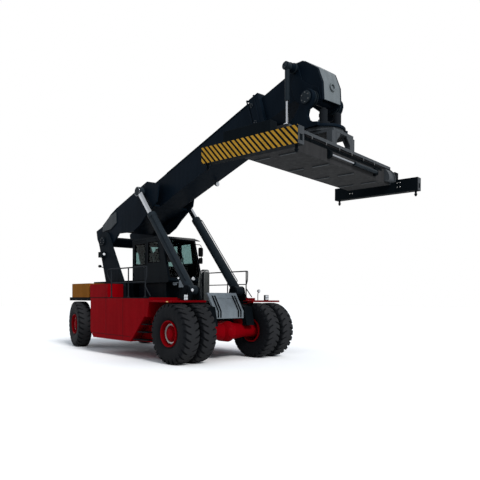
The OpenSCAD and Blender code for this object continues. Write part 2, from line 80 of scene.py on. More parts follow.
@dataclass(frozen=True)
class Paint:
    """A sprayed, cast, plated or moulded surface and the dirt that sits on it."""

    slot: str
    colour: Vec
    rough: float = 0.42
    metal: float = 0.0
    coat: float = 0.0
    gloss: float = 0.01
    peel: float = 0.25
    grain: float = 55.0
    dirt: float = 0.35
    dust: float = 0.35
    wear: float = 0.3
    wear_colour: Vec = (0.05, 0.055, 0.06)


class Finish(Enum):
    """The finishes of the machine, each with its own shader values."""

    CRIMSON = Paint("machine_red", (0.22, 0.0004, 0.0035), rough=0.4, gloss=0.01, dirt=0.3, dust=0.05,
                    wear_colour=(0.14, 0.03, 0.03))
    BLACK = Paint("frame_black", (0.004, 0.006, 0.008), rough=0.46)
    TOWER = Paint("frame_black", (0.007, 0.01, 0.0135), rough=0.5)
    PIPE = Paint("frame_black", (0.02, 0.023, 0.027), rough=0.5)
    SLATE = Paint("boom_slate", (0.004, 0.008, 0.0135), rough=0.38)
    # A lighter copy of the slate paint for the round barrels and their fittings: partly paler paint of their
    # own, partly painted highlight of the light on their round faces.
    PALE_SLATE_AND_SHEEN = Paint("boom_slate", (0.014, 0.02, 0.0255), rough=0.4, gloss=0.03)
    # The four light_grey tones below are lighter copies of the dark boom paint: on the nose, the head's
    # cover, the spreader's beam, the slewing table and the tail plates their lightness is painted front
    # light, partly pale paint of their own.
    GREY = Paint("light_grey", (0.046, 0.052, 0.058), rough=0.45, gloss=0.06)
    LIT_BEAM_GREY = Paint("light_grey", (0.031, 0.031, 0.032), rough=0.5)
    STONE = Paint("light_grey", (0.24, 0.275, 0.3), rough=0.5, gloss=0.1)
    LIT_COVER_GREY = Paint("light_grey", (0.135, 0.155, 0.165), rough=0.45, gloss=0.1)
    OCHRE = Paint("ballast_ochre", (0.21, 0.08, 0.011), rough=0.5)
    CASTING = Paint("cast_dark", (0.012, 0.014, 0.017), rough=0.6, peel=0.8, grain=90.0)
    CAB = Paint("cab_grey", (0.003, 0.006, 0.009), rough=0.36, gloss=0.02)
    MOULDING = Paint("seat_fabric", (0.01, 0.01, 0.011), rough=0.6, peel=0.9, grain=260.0, wear=0.0, dust=0.1)
    HOSE = Paint("cast_dark", (0.009, 0.009, 0.01), rough=0.55, peel=0.5, grain=160.0, wear=0.0)
    SHEATH = Paint("light_grey", (0.2, 0.21, 0.2), rough=0.6, peel=0.5, grain=160.0, wear=0.0)
    CHROME = Paint("rod_chrome", (0.34, 0.36, 0.39), rough=0.16, metal=1.0, peel=0.02, dirt=0.1, dust=0.05,
                   wear=0.0)
    BOLT = Paint("rod_chrome", (0.09, 0.095, 0.1), rough=0.38, metal=1.0, peel=0.15, dirt=0.3, dust=0.2,
                 wear=0.0)
    ZINC = Paint("rod_chrome", (0.36, 0.36, 0.35), rough=0.34, metal=1.0, peel=0.15, dirt=0.3, dust=0.2,
                 wear=0.0)
    LENS = Paint("lamp_white", (0.82, 0.84, 0.86), rough=0.16, coat=0.7, gloss=0.5, peel=0.1, dirt=0.1,
                 dust=0.05, wear=0.0)
    AMBER = Paint("ballast_ochre", (0.75, 0.42, 0.07), rough=0.22, coat=0.6, gloss=0.5, peel=0.1, dirt=0.1,
                  wear=0.0)
    RUBY = Paint("machine_red", (0.42, 0.008, 0.01), rough=0.2, coat=0.7, gloss=0.5, peel=0.1, dirt=0.1,
                 wear=0.0)


class Wire:
    """Short calls that add nodes to a shader tree and join them."""

    def __init__(self, tree: bpy.types.NodeTree) -> None:
        """Keeps the tree that the nodes go into."""
        self.tree = tree

    def add(self, kind: str, **values: object) -> bpy.types.Node:
        """Adds a node of a kind and sets its properties.

        Args:
            kind: Blender's name of the node's type.
            values: Its properties.

        Returns:
            The node.
        """
        node = self.tree.nodes.new(kind)
        for key, value in values.items():
            setattr(node, key, value)
        return node

    def join(self, value: object, socket: bpy.types.NodeSocket) -> None:
        """Feeds a socket.

        Args:
            value: Another socket or a plain value.
            socket: The socket that is fed.
        """
        if isinstance(value, bpy.types.NodeSocket):
            self.tree.links.new(value, socket)
        else:
            socket.default_value = value

    def math(self, kind: str, a: object, b: object = 0.0) -> bpy.types.NodeSocket:
        """One scalar operation.

        Args:
            kind: The Math node's operation.
            a: First value or socket.
            b: Second value or socket.

        Returns:
            The result's socket.
        """
        node = self.add("ShaderNodeMath", operation=kind)
        self.join(a, node.inputs[0])
        self.join(b, node.inputs[1])
        return node.outputs[0]

    def vector(self, kind: str, a: object, b: object = (0.0, 0.0, 0.0)) -> bpy.types.NodeSocket:
        """One vector operation.

        Args:
            kind: The Vector Math node's operation.
            a: First value or socket.
            b: Second value or socket.

        Returns:
            The scalar result of a dot product or a length, and the vector of the rest.
        """
        node = self.add("ShaderNodeVectorMath", operation=kind)
        self.join(a, node.inputs[0])
        self.join(b, node.inputs[1])
        return node.outputs["Value" if kind in ("DOT_PRODUCT", "LENGTH") else "Vector"]

    def scale(self, a: object, by: object) -> bpy.types.NodeSocket:
        """A vector or a colour times a number.

        Args:
            a: The vector, the colour or its socket.
            by: The number or its socket.

        Returns:
            The product's socket.
        """
        node = self.add("ShaderNodeVectorMath", operation="SCALE")
        self.join(a, node.inputs[0])
        self.join(by, node.inputs["Scale"])
        return node.outputs["Vector"]

    def split(self, a: object) -> list[bpy.types.NodeSocket]:
        """A vector taken apart.

        Args:
            a: The vector or its socket.

        Returns:
            The sockets of X, Y and Z.
        """
        node = self.add("ShaderNodeSeparateXYZ")
        self.join(a, node.inputs[0])
        return list(node.outputs)

    def noise(self, place: object, scale: object, detail: float, rough: float) -> bpy.types.NodeSocket:
        """Fractal noise from 0 to 1.

        Args:
            place: Where it is read.
            scale: How many patches fit in a metre.
            detail: How many finer layers it has.
            rough: How much each finer layer counts.

        Returns:
            The noise's socket.
        """
        node = self.add("ShaderNodeTexNoise")
        self.join(place, node.inputs["Vector"])
        self.join(scale, node.inputs["Scale"])
        node.inputs["Detail"].default_value = detail
        node.inputs["Roughness"].default_value = rough
        return node.outputs[0]

    def range(self, a: object, low: float, high: float, to_low: float,
              to_high: float) -> bpy.types.NodeSocket:
        """A value carried from one span to another, held at the ends.

        Args:
            a: The value or its socket.
            low: Start of the first span.
            high: End of the first span.
            to_low: Start of the second span.
            to_high: End of the second span.

        Returns:
            The result's socket.
        """
        node = self.add("ShaderNodeMapRange")
        for key, value in zip(("Value", "From Min", "From Max", "To Min", "To Max"),
                              (a, low, high, to_low, to_high)):
            self.join(value, node.inputs[key])
        return node.outputs[0]

    def mix(self, share: object, a: object, b: object) -> bpy.types.NodeSocket:
        """Two colours mixed.

        Args:
            share: Share of the second colour.
            a: The first colour.
            b: The second colour.

        Returns:
            The result's socket.
        """
        node = self.add("ShaderNodeMix", data_type="RGBA")
        self.join(share, node.inputs[0])
        self.join(a, node.inputs[RGBA_A])
        self.join(b, node.inputs[RGBA_B])
        return node.outputs[RGBA_RESULT]

    def group(self, tree: bpy.types.NodeTree, **values: object) -> bpy.types.Node:
        """A copy of a node group.

        Args:
            tree: The group.
            values: What its inputs are set to or fed from, by their names.

        Returns:
            The group's node.
        """
        node = self.add("ShaderNodeGroup", node_tree=tree)
        for key, value in values.items():
            self.join(value, node.inputs[key])
        return node


class Groups:
    """Shader node groups that several finishes share."""

    STREAK_SCALE: Vec = (9.0, 9.0, 0.7)
    SPLASH_HEIGHT: float = 1.6
    ROAD_DUST: tuple = (0.09, 0.085, 0.08, 1)
    BAND_SHARE: float = 0.46
    WALL_RINGS: float = 130.0

    def __init__(self) -> None:
        """Builds each group once."""
        self.weather = self._weather()
        self.edges = self._edges()
        self.bands = self._bands()
        self.wheel = self._wheel()
        self.weave = self._weave()

    @staticmethod
    def _new(name: str, inputs: list[tuple], outputs: list[tuple]) -> tuple:
        """Starts a group.

        Args:
            name: Name of the group.
            inputs: Socket name, type and default value of each input.
            outputs: Socket name and type of each output.

        Returns:
            The tree's wire, its input node and its output node.
        """
        tree = bpy.data.node_groups.new(name, "ShaderNodeTree")
        for label, kind, value in inputs:
            sock = tree.interface.new_socket(name=label, in_out="INPUT", socket_type=kind)
            sock.default_value = value
        for label, kind in outputs:
            tree.interface.new_socket(name=label, in_out="OUTPUT", socket_type=kind)
        return Wire(tree), tree.nodes.new("NodeGroupInput"), tree.nodes.new("NodeGroupOutput")

    def _weather(self) -> bpy.types.NodeTree:
        """Dirt in patches, rain streaks, road dust near the floor and dust on top faces.

        Soil is the patches times the streaks. The film of dust is half of how far a face
        looks up plus 0.6 of how near it is to the floor, thinned in patches.

        Returns:
            The group's tree.
        """
        n, i, o = self._new(
            "weather",
            [("Colour", "NodeSocketColor", (0.5, 0.5, 0.5, 1)), ("Rough", "NodeSocketFloat", 0.4),
             ("Grain", "NodeSocketFloat", 60.0), ("Dirt", "NodeSocketFloat", 0.3),
             ("Dust", "NodeSocketFloat", 0.3)],
            [("Colour", "NodeSocketColor"), ("Rough", "NodeSocketFloat"), ("Height", "NodeSocketFloat")])
        place = n.add("ShaderNodeTexCoord").outputs["Object"]
        patches = n.noise(place, 1.7, 6.0, 0.62)
        streaks = n.noise(n.vector("MULTIPLY", place, self.STREAK_SCALE), 1.0, 4.0, 0.6)
        fine = n.noise(place, i.outputs["Grain"], 3.0, 0.55)
        up = n.split(n.add("ShaderNodeNewGeometry").outputs["Normal"])[2]
        top = n.range(up, 0.35, 0.95, 0.0, 1.0)
        low = n.range(n.split(place)[2], 0.0, self.SPLASH_HEIGHT, 1.0, 0.0)
        soil = n.math("MULTIPLY", n.range(n.math("MULTIPLY", patches, streaks), 0.14, 0.4, 0.0, 1.0),
                      i.outputs["Dirt"])
        film = n.math("MULTIPLY", n.math("ADD", n.math("MULTIPLY", top, 0.5), n.math("MULTIPLY", low, 0.6)),
                      n.math("MULTIPLY", n.range(patches, 0.3, 0.7, 0.2, 1.0), i.outputs["Dust"]))
        darker = n.math("MULTIPLY", n.range(soil, 0.0, 1.0, 1.0, 0.35), n.range(fine, 0.3, 0.7, 0.88, 1.12))
        shade = n.scale(i.outputs["Colour"], darker)
        n.join(n.mix(n.math("MULTIPLY", film, 0.3), shade, self.ROAD_DUST), o.inputs["Colour"])
        n.join(n.math("ADD", n.math("ADD", i.outputs["Rough"], n.math("MULTIPLY", film, 0.35)),
                      n.range(streaks, 0.3, 0.7, -0.05, 0.09)), o.inputs["Rough"])
        n.join(n.math("ADD", fine, n.math("MULTIPLY", patches, 0.4)), o.inputs["Height"])
        return n.tree

    def _edges(self) -> bpy.types.NodeTree:
        """Rounded edges, and a mask where they are rubbed.

        The mask grows as the rounded normal leaves the face's own one.

        Returns:
            The group's tree.
        """
        n, i, o = self._new(
            "edges", [("Radius", "NodeSocketFloat", 0.008), ("Wear", "NodeSocketFloat", 0.3)],
            [("Normal", "NodeSocketVector"), ("Mask", "NodeSocketFloat")])
        bevel = n.add("ShaderNodeBevel", samples=4)
        n.join(i.outputs["Radius"], bevel.inputs["Radius"])
        flat = n.add("ShaderNodeNewGeometry").outputs["Normal"]
        bend = n.vector("DOT_PRODUCT", bevel.outputs["Normal"], flat)
        rubbed = n.noise(n.add("ShaderNodeTexCoord").outputs["Object"], 7.0, 5.0, 0.7)
        mask = n.math("MULTIPLY", n.range(bend, 0.985, 0.86, 0.0, 1.0), n.range(rubbed, 0.4, 0.62, 0.15, 1.0))
        n.join(bevel.outputs["Normal"], o.inputs["Normal"])
        n.join(n.math("MULTIPLY", mask, i.outputs["Wear"]), o.inputs["Mask"])
        return n.tree

    def _bands(self) -> bpy.types.NodeTree:
        """Slanting bands that lie across a plate.

        The band number is the distance along the plate plus the height, over the pitch.

        Returns:
            The group's tree.
        """
        n, i, o = self._new(
            "bands",
            [("Along", "NodeSocketVector", (1, 0, 0)), ("Out", "NodeSocketVector", (0, -1, 0)),
             ("Face", "NodeSocketFloat", 3.0), ("Pitch", "NodeSocketFloat", 0.12),
             ("Lean", "NodeSocketFloat", 1.0),
             ("Top", "NodeSocketFloat", 5.0)],
            [("Mask", "NodeSocketFloat")])
        place = n.add("ShaderNodeTexCoord").outputs["Object"]
        run = n.vector("DOT_PRODUCT", place, i.outputs["Along"])
        lean = n.math("MULTIPLY", n.split(place)[2], i.outputs["Lean"])
        turn = n.math("FRACT", n.math("DIVIDE", n.math("ADD", run, lean), i.outputs["Pitch"]))
        face = n.math("GREATER_THAN", n.vector("DOT_PRODUCT", place, i.outputs["Out"]), i.outputs["Face"])
        chips = n.range(n.noise(place, 26.0, 4.0, 0.65), 0.34, 0.4, 0.55, 1.0)
        low = n.math("LESS_THAN", n.split(place)[2], i.outputs["Top"])
        band = n.math("MULTIPLY", n.math("GREATER_THAN", turn, self.BAND_SHARE), low)
        n.join(n.math("MULTIPLY", n.math("MULTIPLY", band, face), chips), o.inputs["Mask"])
        return n.tree

    def _wheel(self) -> bpy.types.NodeTree:
        """Rings of a side wall and dust on the tread, by the distance from a wheel's axle.

        The distance is the length of what is left of a point once its part along the axle
        is taken off, over the tyre's radius.

        Returns:
            The group's tree.
        """
        n, i, o = self._new(
            "wheel",
            [("Centre", "NodeSocketVector", (0, 0, 0)), ("Axle", "NodeSocketVector", (0, 1, 0)),
             ("Radius", "NodeSocketFloat", 0.83)],
            [("Rings", "NodeSocketFloat"), ("Tread", "NodeSocketFloat"), ("Grain", "NodeSocketFloat")])
        place = n.add("ShaderNodeTexCoord").outputs["Object"]
        arm = n.vector("SUBTRACT", place, i.outputs["Centre"])
        along = n.vector("DOT_PRODUCT", arm, i.outputs["Axle"])
        flat = n.vector("SUBTRACT", arm, n.scale(i.outputs["Axle"], along))
        reach = n.math("DIVIDE", n.vector("LENGTH", flat), i.outputs["Radius"])
        wave = n.math("SINE", n.math("MULTIPLY", reach, self.WALL_RINGS))
        n.join(n.math("MULTIPLY", n.math("GREATER_THAN", wave, 0.82), n.range(reach, 0.9, 0.86, 0.0, 1.0)),
               o.inputs["Rings"])
        n.join(n.range(reach, 0.955, 0.99, 0.0, 1.0), o.inputs["Tread"])
        n.join(n.noise(place, 130.0, 3.0, 0.6), o.inputs["Grain"])
        return n.tree

    def _weave(self) -> bpy.types.NodeTree:
        """Crossing threads of a seat cloth: the product of two sines over the two axes of a pad.

        Returns:
            The group's tree.
        """
        n, i, o = self._new("weave", [("Pitch", "NodeSocketFloat", 900.0)],
                            [("Height", "NodeSocketFloat"), ("Mask", "NodeSocketFloat")])
        x, y, z = n.split(n.add("ShaderNodeTexCoord").outputs["Object"])
        rise = n.math("ADD", x, z)
        warp = n.math("SINE", n.math("MULTIPLY", rise, i.outputs["Pitch"]))
        weft = n.math("SINE", n.math("MULTIPLY", y, i.outputs["Pitch"]))
        cross = n.math("MULTIPLY", warp, weft)
        n.join(cross, o.inputs["Height"])
        n.join(n.range(cross, -1.0, 1.0, 0.0, 1.0), o.inputs["Mask"])
        return n.tree


class PaintShop:
    """Makes each finish once and puts it on nodes and pieces."""

    BAND_YELLOW: tuple = (0.46, 0.25, 0.03, 1.0)
    EDGE_RADIUS: float = 0.008
    TYRE_EDGE_RADIUS: float = 0.01
    COAT_ROUGH: float = 0.25
    PEEL_DEPTH: float = 0.002
    TREAD_DEPTH: float = 0.002
    THREAD_DEPTH: float = 0.001
    RUBBER: tuple = (0.006, 0.007, 0.009, 1)
    TREAD_DUST: tuple = (0.06, 0.06, 0.062, 1)
    THREADS: tuple = ((0.012, 0.013, 0.015, 1), (0.045, 0.047, 0.052, 1))
    PANES: tuple = ((0.34, 0.46, 0.45, 1), (0.45, 0.52, 0.5, 1))

    def __init__(self) -> None:
        """Builds the node groups that the finishes share."""
        self.groups = Groups()
        self.made: dict[str, bpy.types.Material] = {}

    def paint(self, finish: Finish, stripes: dict | None = None, name: str = "") -> bpy.types.Material:
        """A painted, cast or plated finish.

        Args:
            finish: The finish wanted.
            stripes: Inputs of the band group, where the paint carries warning bands.
            name: Name of the material, if not the finish's own.

        Returns:
            The material.
        """
        key = name or finish.name.lower()
        if key in self.made:
            return self.made[key]
        p: Paint = finish.value
        mat, n, bsdf = self.start(key)
        base: object = (*p.colour, 1.0)
        if stripes:
            mask = n.group(self.groups.bands, **stripes).outputs["Mask"]
            base = n.mix(mask, base, self.BAND_YELLOW)
        w = n.group(self.groups.weather, Colour=base, Rough=p.rough, Grain=p.grain, Dirt=p.dirt, Dust=p.dust)
        e = n.group(self.groups.edges, Radius=self.EDGE_RADIUS, Wear=p.wear)
        n.join(n.mix(e.outputs["Mask"], w.outputs["Colour"], (*p.wear_colour, 1.0)),
               bsdf.inputs["Base Color"])
        n.join(w.outputs["Rough"], bsdf.inputs["Roughness"])
        bsdf.inputs["Metallic"].default_value = p.metal
        bsdf.inputs["Specular IOR Level"].default_value = p.gloss
        bsdf.inputs["Coat Weight"].default_value = p.coat
        bsdf.inputs["Coat Roughness"].default_value = self.COAT_ROUGH
        self._bump(n, bsdf, w.outputs["Height"], p.peel * self.PEEL_DEPTH, e.outputs["Normal"])
        self.made[key] = mat
        return mat

    def rubber(self, name: str, centre: Vec, axle: Vec, radius: float) -> bpy.types.Material:
        """Tyre rubber with side wall rings and road dust on the tread.

        Args:
            name: Name of the material.
            centre: Middle of the wheel.
            axle: Unit vector along its axle.
            radius: Outer radius of the tyre.

        Returns:
            The material.
        """
        mat, n, bsdf = self.start(name)
        g = n.group(self.groups.wheel, Centre=centre, Axle=axle, Radius=radius)
        w = n.group(self.groups.weather, Colour=self.RUBBER, Rough=0.68, Grain=70.0, Dirt=0.3, Dust=0.1)
        dusty = n.math("MULTIPLY", g.outputs["Tread"], n.range(g.outputs["Grain"], 0.3, 0.7, 0.1, 0.35))
        n.join(n.mix(dusty, w.outputs["Colour"], self.TREAD_DUST), bsdf.inputs["Base Color"])
        n.join(w.outputs["Rough"], bsdf.inputs["Roughness"])
        bsdf.inputs["Specular IOR Level"].default_value = 0.07
        height = n.math("ADD", n.math("MULTIPLY", g.outputs["Rings"], 1.5),
                        n.math("MULTIPLY", g.outputs["Grain"], 0.3))
        e = n.group(self.groups.edges, Radius=self.TYRE_EDGE_RADIUS, Wear=0.0)
        self._bump(n, bsdf, height, self.TREAD_DEPTH, e.outputs["Normal"])
        return mat

    def cloth(self) -> bpy.types.Material:
        """Woven seat cloth with a soft sheen.

        Returns:
            The material.
        """
        if "cloth" in self.made:
            return self.made["cloth"]
        mat, n, bsdf = self.start("cloth")
        weave = n.group(self.groups.weave, Pitch=1400.0)
        worn = n.noise(n.add("ShaderNodeTexCoord").outputs["Object"], 6.0, 4.0, 0.6)
        threads = n.mix(weave.outputs["Mask"], *self.THREADS)
        n.join(n.scale(threads, n.range(worn, 0.3, 0.7, 0.75, 1.25)), bsdf.inputs["Base Color"])
        bsdf.inputs["Roughness"].default_value = 0.9
        bsdf.inputs["Sheen Weight"].default_value = 0.3
        bsdf.inputs["Specular IOR Level"].default_value = 0.2
        bump = n.add("ShaderNodeBump")
        bump.inputs["Strength"].default_value = 0.5
        bump.inputs["Distance"].default_value = self.THREAD_DEPTH
        n.join(weave.outputs["Height"], bump.inputs["Height"])
        n.join(bump.outputs[0], bsdf.inputs["Normal"])
        self.made["cloth"] = mat
        return mat

    def glass(self) -> bpy.types.Material:
        """Tinted safety glass, streaked by the wiper and by rain.

        Returns:
            The material.
        """
        if "glass" in self.made:
            return self.made["glass"]
        mat, n, bsdf = self.start("glass")
        place = n.add("ShaderNodeTexCoord").outputs["Object"]
        film = n.noise(n.vector("MULTIPLY", place, (5.0, 5.0, 1.5)), 2.0, 4.0, 0.6)
        n.join(n.mix(n.range(film, 0.45, 0.8, 0.0, 0.3), *self.PANES), bsdf.inputs["Base Color"])
        n.join(n.range(film, 0.35, 0.8, 0.02, 0.12), bsdf.inputs["Roughness"])
        bsdf.inputs["Transmission Weight"].default_value = 1.0
        bsdf.inputs["IOR"].default_value = 1.1
        self.made["glass"] = mat
        return mat

    def dress(self, node: str, material: bpy.types.Material) -> None:
        """Gives a CAD node its material.

        Args:
            node: Name of the node.
            material: The material that takes the place of its own.
        """
        mesh = frame["nodes"][node].data
        mesh.materials.clear()
        mesh.materials.append(material)

    @staticmethod
    def start(name: str) -> tuple:
        """Starts a material.

        Args:
            name: Name of the material.

        Returns:
            The material, its tree's wire and its shader.
        """
        mat = bpy.data.materials.new(name)
        mat.use_nodes = True
        return mat, Wire(mat.node_tree), mat.node_tree.nodes["Principled BSDF"]

    @staticmethod
    def _bump(n: Wire, bsdf: bpy.types.Node, height: object, distance: float, normal: object) -> None:
        """Feeds a bump, on top of another normal, to the shader.

        Args:
            n: The tree's wire.
            bsdf: The shader.
            height: Height of the relief, from 0 to 1.
            distance: How many metres a height of 1 is.
            normal: The normal that the relief is added to.
        """
        bump = n.add("ShaderNodeBump")
        bump.inputs["Strength"].default_value = 0.6
        bump.inputs["Distance"].default_value = distance
        n.join(height, bump.inputs["Height"])
        n.join(normal, bump.inputs["Normal"])
        n.join(bump.outputs[0], bsdf.inputs["Normal"])


@dataclass(frozen=True)
class Basis:
    """A sub-assembly's own axes, placed in the frame."""

    origin: Array
    x: Array
    y: Array
    z: Array

    def place(self, points: Array) -> Array:
        """Points of the sub-assembly in the frame: the origin plus each number times its axis."""
        return self.origin + np.asarray(points, float) @ np.stack([self.x, self.y, self.z])

    def move(self, patch: "Patch") -> "Patch":
        """A patch carried into the frame."""
        return Patch(self.place(patch.points), patch.faces)


@dataclass(frozen=True)
class Patch:
    """Points and faces of one closed surface."""

    points: Array
    faces: list[list[int]]

    def shifted(self, by: Vec) -> "Patch":
        """The same surface moved."""
        return Patch(self.points + np.asarray(by, float), self.faces)

    def mirrored(self) -> "Patch":
        """The same surface on the other side of the centre plane."""
        return Patch(self.points * (1.0, -1.0, 1.0), self.faces)


def quads(rows: int, cols: int, closed_rows: bool = False, closed_cols: bool = True) -> list[list[int]]:
    """Four-sided faces between the neighbours of a grid.

    Args:
        rows: Points along the first parameter.
        cols: Points along the second parameter.
        closed_rows: Whether the last row joins the first.
        closed_cols: Whether the last column joins the first.

    Returns:
        The corner numbers of each face.
    """
    r = np.arange(rows if closed_rows else rows - 1)[:, None]
    c = np.arange(cols if closed_cols else cols - 1)[None, :]
    r2, c2 = (r + 1) % rows, (c + 1) % cols
    return np.stack([r * cols + c, r * cols + c2, r2 * cols + c2, r2 * cols + c], -1).reshape(-1, 4).tolist()


def skin(grid: Array) -> Patch:
    """Rings of points joined into one surface and closed with a flat end at both ends.

    Args:
        grid: Rings by points by three numbers.

    Returns:
        The closed patch.
    """
    rows, cols = grid.shape[:2]
    faces = quads(rows, cols)
    faces.append(list(range(cols))[::-1])
    faces.append(list(range((rows - 1) * cols, rows * cols)))
    return Patch(grid.reshape(-1, 3), faces)


def smooth_path(points: Array, steps: int) -> Array:
    """A Catmull-Rom curve: on each span a cubic whose ends head for the next point but one.

    Args:
        points: Points that the curve passes.
        steps: Points computed on each span.

    Returns:
        The points of the curve, from the first given one to the last.
    """
    p = np.vstack([2 * points[0] - points[1], points, 2 * points[-1] - points[-2]])
    t = np.linspace(0.0, 1.0, steps, endpoint=False)[None, :, None]
    a, b, c, d = p[:-3, None], p[1:-2, None], p[2:-1, None], p[3:, None]
    curve = 0.5 * (2 * b + (c - a) * t + (2 * a - 5 * b + 4 * c - d) * t**2 + (3 * b - a - 3 * c + d) * t**3)
    return np.vstack([curve.reshape(-1, 3), points[-1:]])


def tube(points: list[Vec], radius: float, steps: int = 6, sides: int = 10) -> Patch:
    """A round bar or hose: a circle carried along a smooth curve, square to the curve's direction.

    Args:
        points: Points that the middle line passes.
        radius: Radius of the circle.
        steps: Rings between two points.
        sides: Points round the circle.

    Returns:
        The closed patch.
    """
    line = smooth_path(np.asarray(points, float), steps)
    ahead = np.gradient(line, axis=0)
    ahead /= np.linalg.norm(ahead, axis=1, keepdims=True)
    flat = np.linalg.svd(line - line.mean(0))[2][-1]
    if np.abs(ahead @ flat).max() > 0.95:
        flat = np.roll(flat, 1)
    side = np.cross(ahead, flat)
    side /= np.linalg.norm(side, axis=1, keepdims=True)
    rise = np.cross(side, ahead)
    turn = np.linspace(0.0, 2 * math.pi, sides, endpoint=False)
    ring = np.cos(turn)[None, :, None] * side[:, None] + np.sin(turn)[None, :, None] * rise[:, None]
    return skin(line[:, None] + radius * ring)


def lathe(profile: list[Pair], centre: Vec, axis: Vec, sides: int = 32) -> Patch:
    """A profile of distances along an axis and radii, turned round that axis.

    Args:
        profile: Distance along the axis and radius of each ring.
        centre: Where the axis starts.
        axis: Direction of the axis.
        sides: Points round it.

    Returns:
        The closed patch.
    """
    ahead = np.asarray(axis, float) / np.linalg.norm(axis)
    side = np.cross(ahead, UP if abs(ahead[2]) < 0.9 else ALONG)
    side /= np.linalg.norm(side)
    rise = np.cross(side, ahead)
    turn = np.linspace(0.0, 2 * math.pi, sides, endpoint=False)
    p = np.asarray(profile, float)
    ring = np.cos(turn)[None, :, None] * side + np.sin(turn)[None, :, None] * rise
    return skin(np.asarray(centre, float) + p[:, 0, None, None] * ahead + p[:, 1, None, None] * ring)


def collar(profile: list[Pair], centre: Vec, axis: Vec, sides: int = 48) -> Patch:
    """A closed profile turned round an axis, as a ring with a hole.

    Args:
        profile: Distance along the axis and radius of each corner.
        centre: Where the axis starts.
        axis: Direction of the axis.
        sides: Points round it.

    Returns:
        The closed patch.
    """
    solid = lathe(profile, centre, axis, sides)
    return Patch(solid.points, quads(len(profile), sides, closed_rows=True))


def slab(outline: list[Pair], low: float, high: float, across: int = 1) -> Patch:
    """A flat outline given a thickness.

    Args:
        outline: Two numbers of each corner, in the two axes that aren't across.
        low: Start of the thickness.
        high: End of the thickness.
        across: The axis of the thickness, 0 for X, 1 for Y and 2 for Z.

    Returns:
        The closed patch.
    """
    flat = np.asarray(outline, float)
    rings = np.stack([np.insert(flat, across, value, axis=1) for value in (low, high)])
    return skin(rings)


def pillow(centre: Vec, half: Vec, square: float = 0.35, rows: int = 14, cols: int = 28) -> Patch:
    """A block with swelling sides: a sphere whose sines and cosines are raised to a small power.

    Args:
        centre: Middle of the block.
        half: Half of its size in X, Y and Z.
        square: The power, 1 for a ball and towards 0 for a sharp block.
        rows: Rings from the lowest to the highest point.
        cols: Points round each ring.

    Returns:
        The closed patch.
    """
    up = np.linspace(-math.pi / 2, math.pi / 2, rows)[:, None]
    turn = np.linspace(0.0, 2 * math.pi, cols, endpoint=False)[None, :]

    def power(value: Array) -> Array:
        """A value raised to the power with its sign kept."""
        return np.sign(value) * np.abs(value) ** square

    ball = np.stack([power(np.cos(up)) * power(np.cos(turn)), power(np.cos(up)) * power(np.sin(turn)),
                     power(np.sin(up)) * np.ones_like(turn)], -1)
    return skin(np.asarray(centre, float) + ball * np.asarray(half, float))


def ring_of(shape: Patch, count: int, centre: Vec, axis: Vec, first: float = 0.0) -> list[Patch]:
    """Copies of a shape turned round an axis in equal steps.

    A turned point is its part along the axis, plus the rest times the cosine, plus its
    cross product with the axis times the sine.

    Args:
        shape: The shape at its first place.
        count: How many copies stand round the axis.
        centre: A point on the axis.
        axis: Direction of the axis.
        first: Angle of the first copy in radians.

    Returns:
        The copies.
    """
    k = np.asarray(axis, float) / np.linalg.norm(axis)
    arm = shape.points - np.asarray(centre, float)
    along = (arm @ k)[:, None] * k
    turn = first + np.arange(count)[:, None, None] * 2 * math.pi / count
    turned = along + (arm - along) * np.cos(turn) + np.cross(k, arm) * np.sin(turn)
    return [Patch(points, shape.faces) for points in turned + np.asarray(centre, float)]


def bolt(centre: Array | Vec, axis: Array | Vec, size: float = 0.018) -> Patch:
    """A six-sided head with a chamfered top on a washer.

    Args:
        centre: Middle of the washer's foot.
        axis: Direction in which the head stands out.
        size: Half of the head's width over its corners.

    Returns:
        The closed patch.
    """
    washer, thick = size * 1.25, 0.004
    profile = [(0.0, washer), (thick, washer), (thick, size), (size * 0.9, size), (size * 1.05, size * 0.85)]
    return lathe(profile, tuple(centre), tuple(axis), 6)


class Workshop:
    """Turns patches into pieces that ride on the bodies."""

    def __init__(self, shop: PaintShop) -> None:
        """Keeps the paint shop."""
        self.shop = shop

    def make(self, name: str, patches: list[Patch], body: str, finish: Finish | bpy.types.Material,
             slot: str = "", stands_for: str = "", bevel: float = 0.0,
             sharp: float = 38.0) -> bpy.types.Object:
        """Joins patches into one piece.

        Args:
            name: Name of the piece.
            patches: Its closed surfaces.
            body: The body that it moves with.
            finish: Its finish or its material.
            slot: Not used.
            stands_for: CAD node that it replaces.
            bevel: Width of a bevel along its edges, or 0.
            sharp: Angle in degrees past which an edge stays sharp.

        Returns:
            The piece.
        """
        starts = np.cumsum([0] + [len(p.points) for p in patches[:-1]])
        faces = [[corner + int(start) for corner in face] for p, start in zip(patches, starts)
                 for face in p.faces]
        mesh = bpy.data.meshes.new(name)
        mesh.from_pydata(np.vstack([p.points for p in patches]).tolist(), [], faces)
        work = bmesh.new()
        work.from_mesh(mesh)
        bmesh.ops.remove_doubles(work, verts=work.verts, dist=1e-5)
        bmesh.ops.recalc_face_normals(work, faces=work.faces)
        work.to_mesh(mesh)
        work.free()
        mesh.shade_smooth()
        mesh.set_sharp_from_angle(angle=math.radians(sharp))
        piece = bpy.data.objects.new(name, mesh)
        bpy.context.scene.collection.objects.link(piece)
        if bevel:
            edge = piece.modifiers.new("bevel", "BEVEL")
            edge.width = bevel
            edge.segments = 2
            edge.limit_method = "ANGLE"
        painted = isinstance(finish, Finish)
        mesh.materials.append(self.shop.paint(finish) if painted else finish)
        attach(piece, body)
        if stands_for:
            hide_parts(stands_for)
        LOG.info("%s: %d faces on %s", name, len(mesh.polygons), body)
        return piece


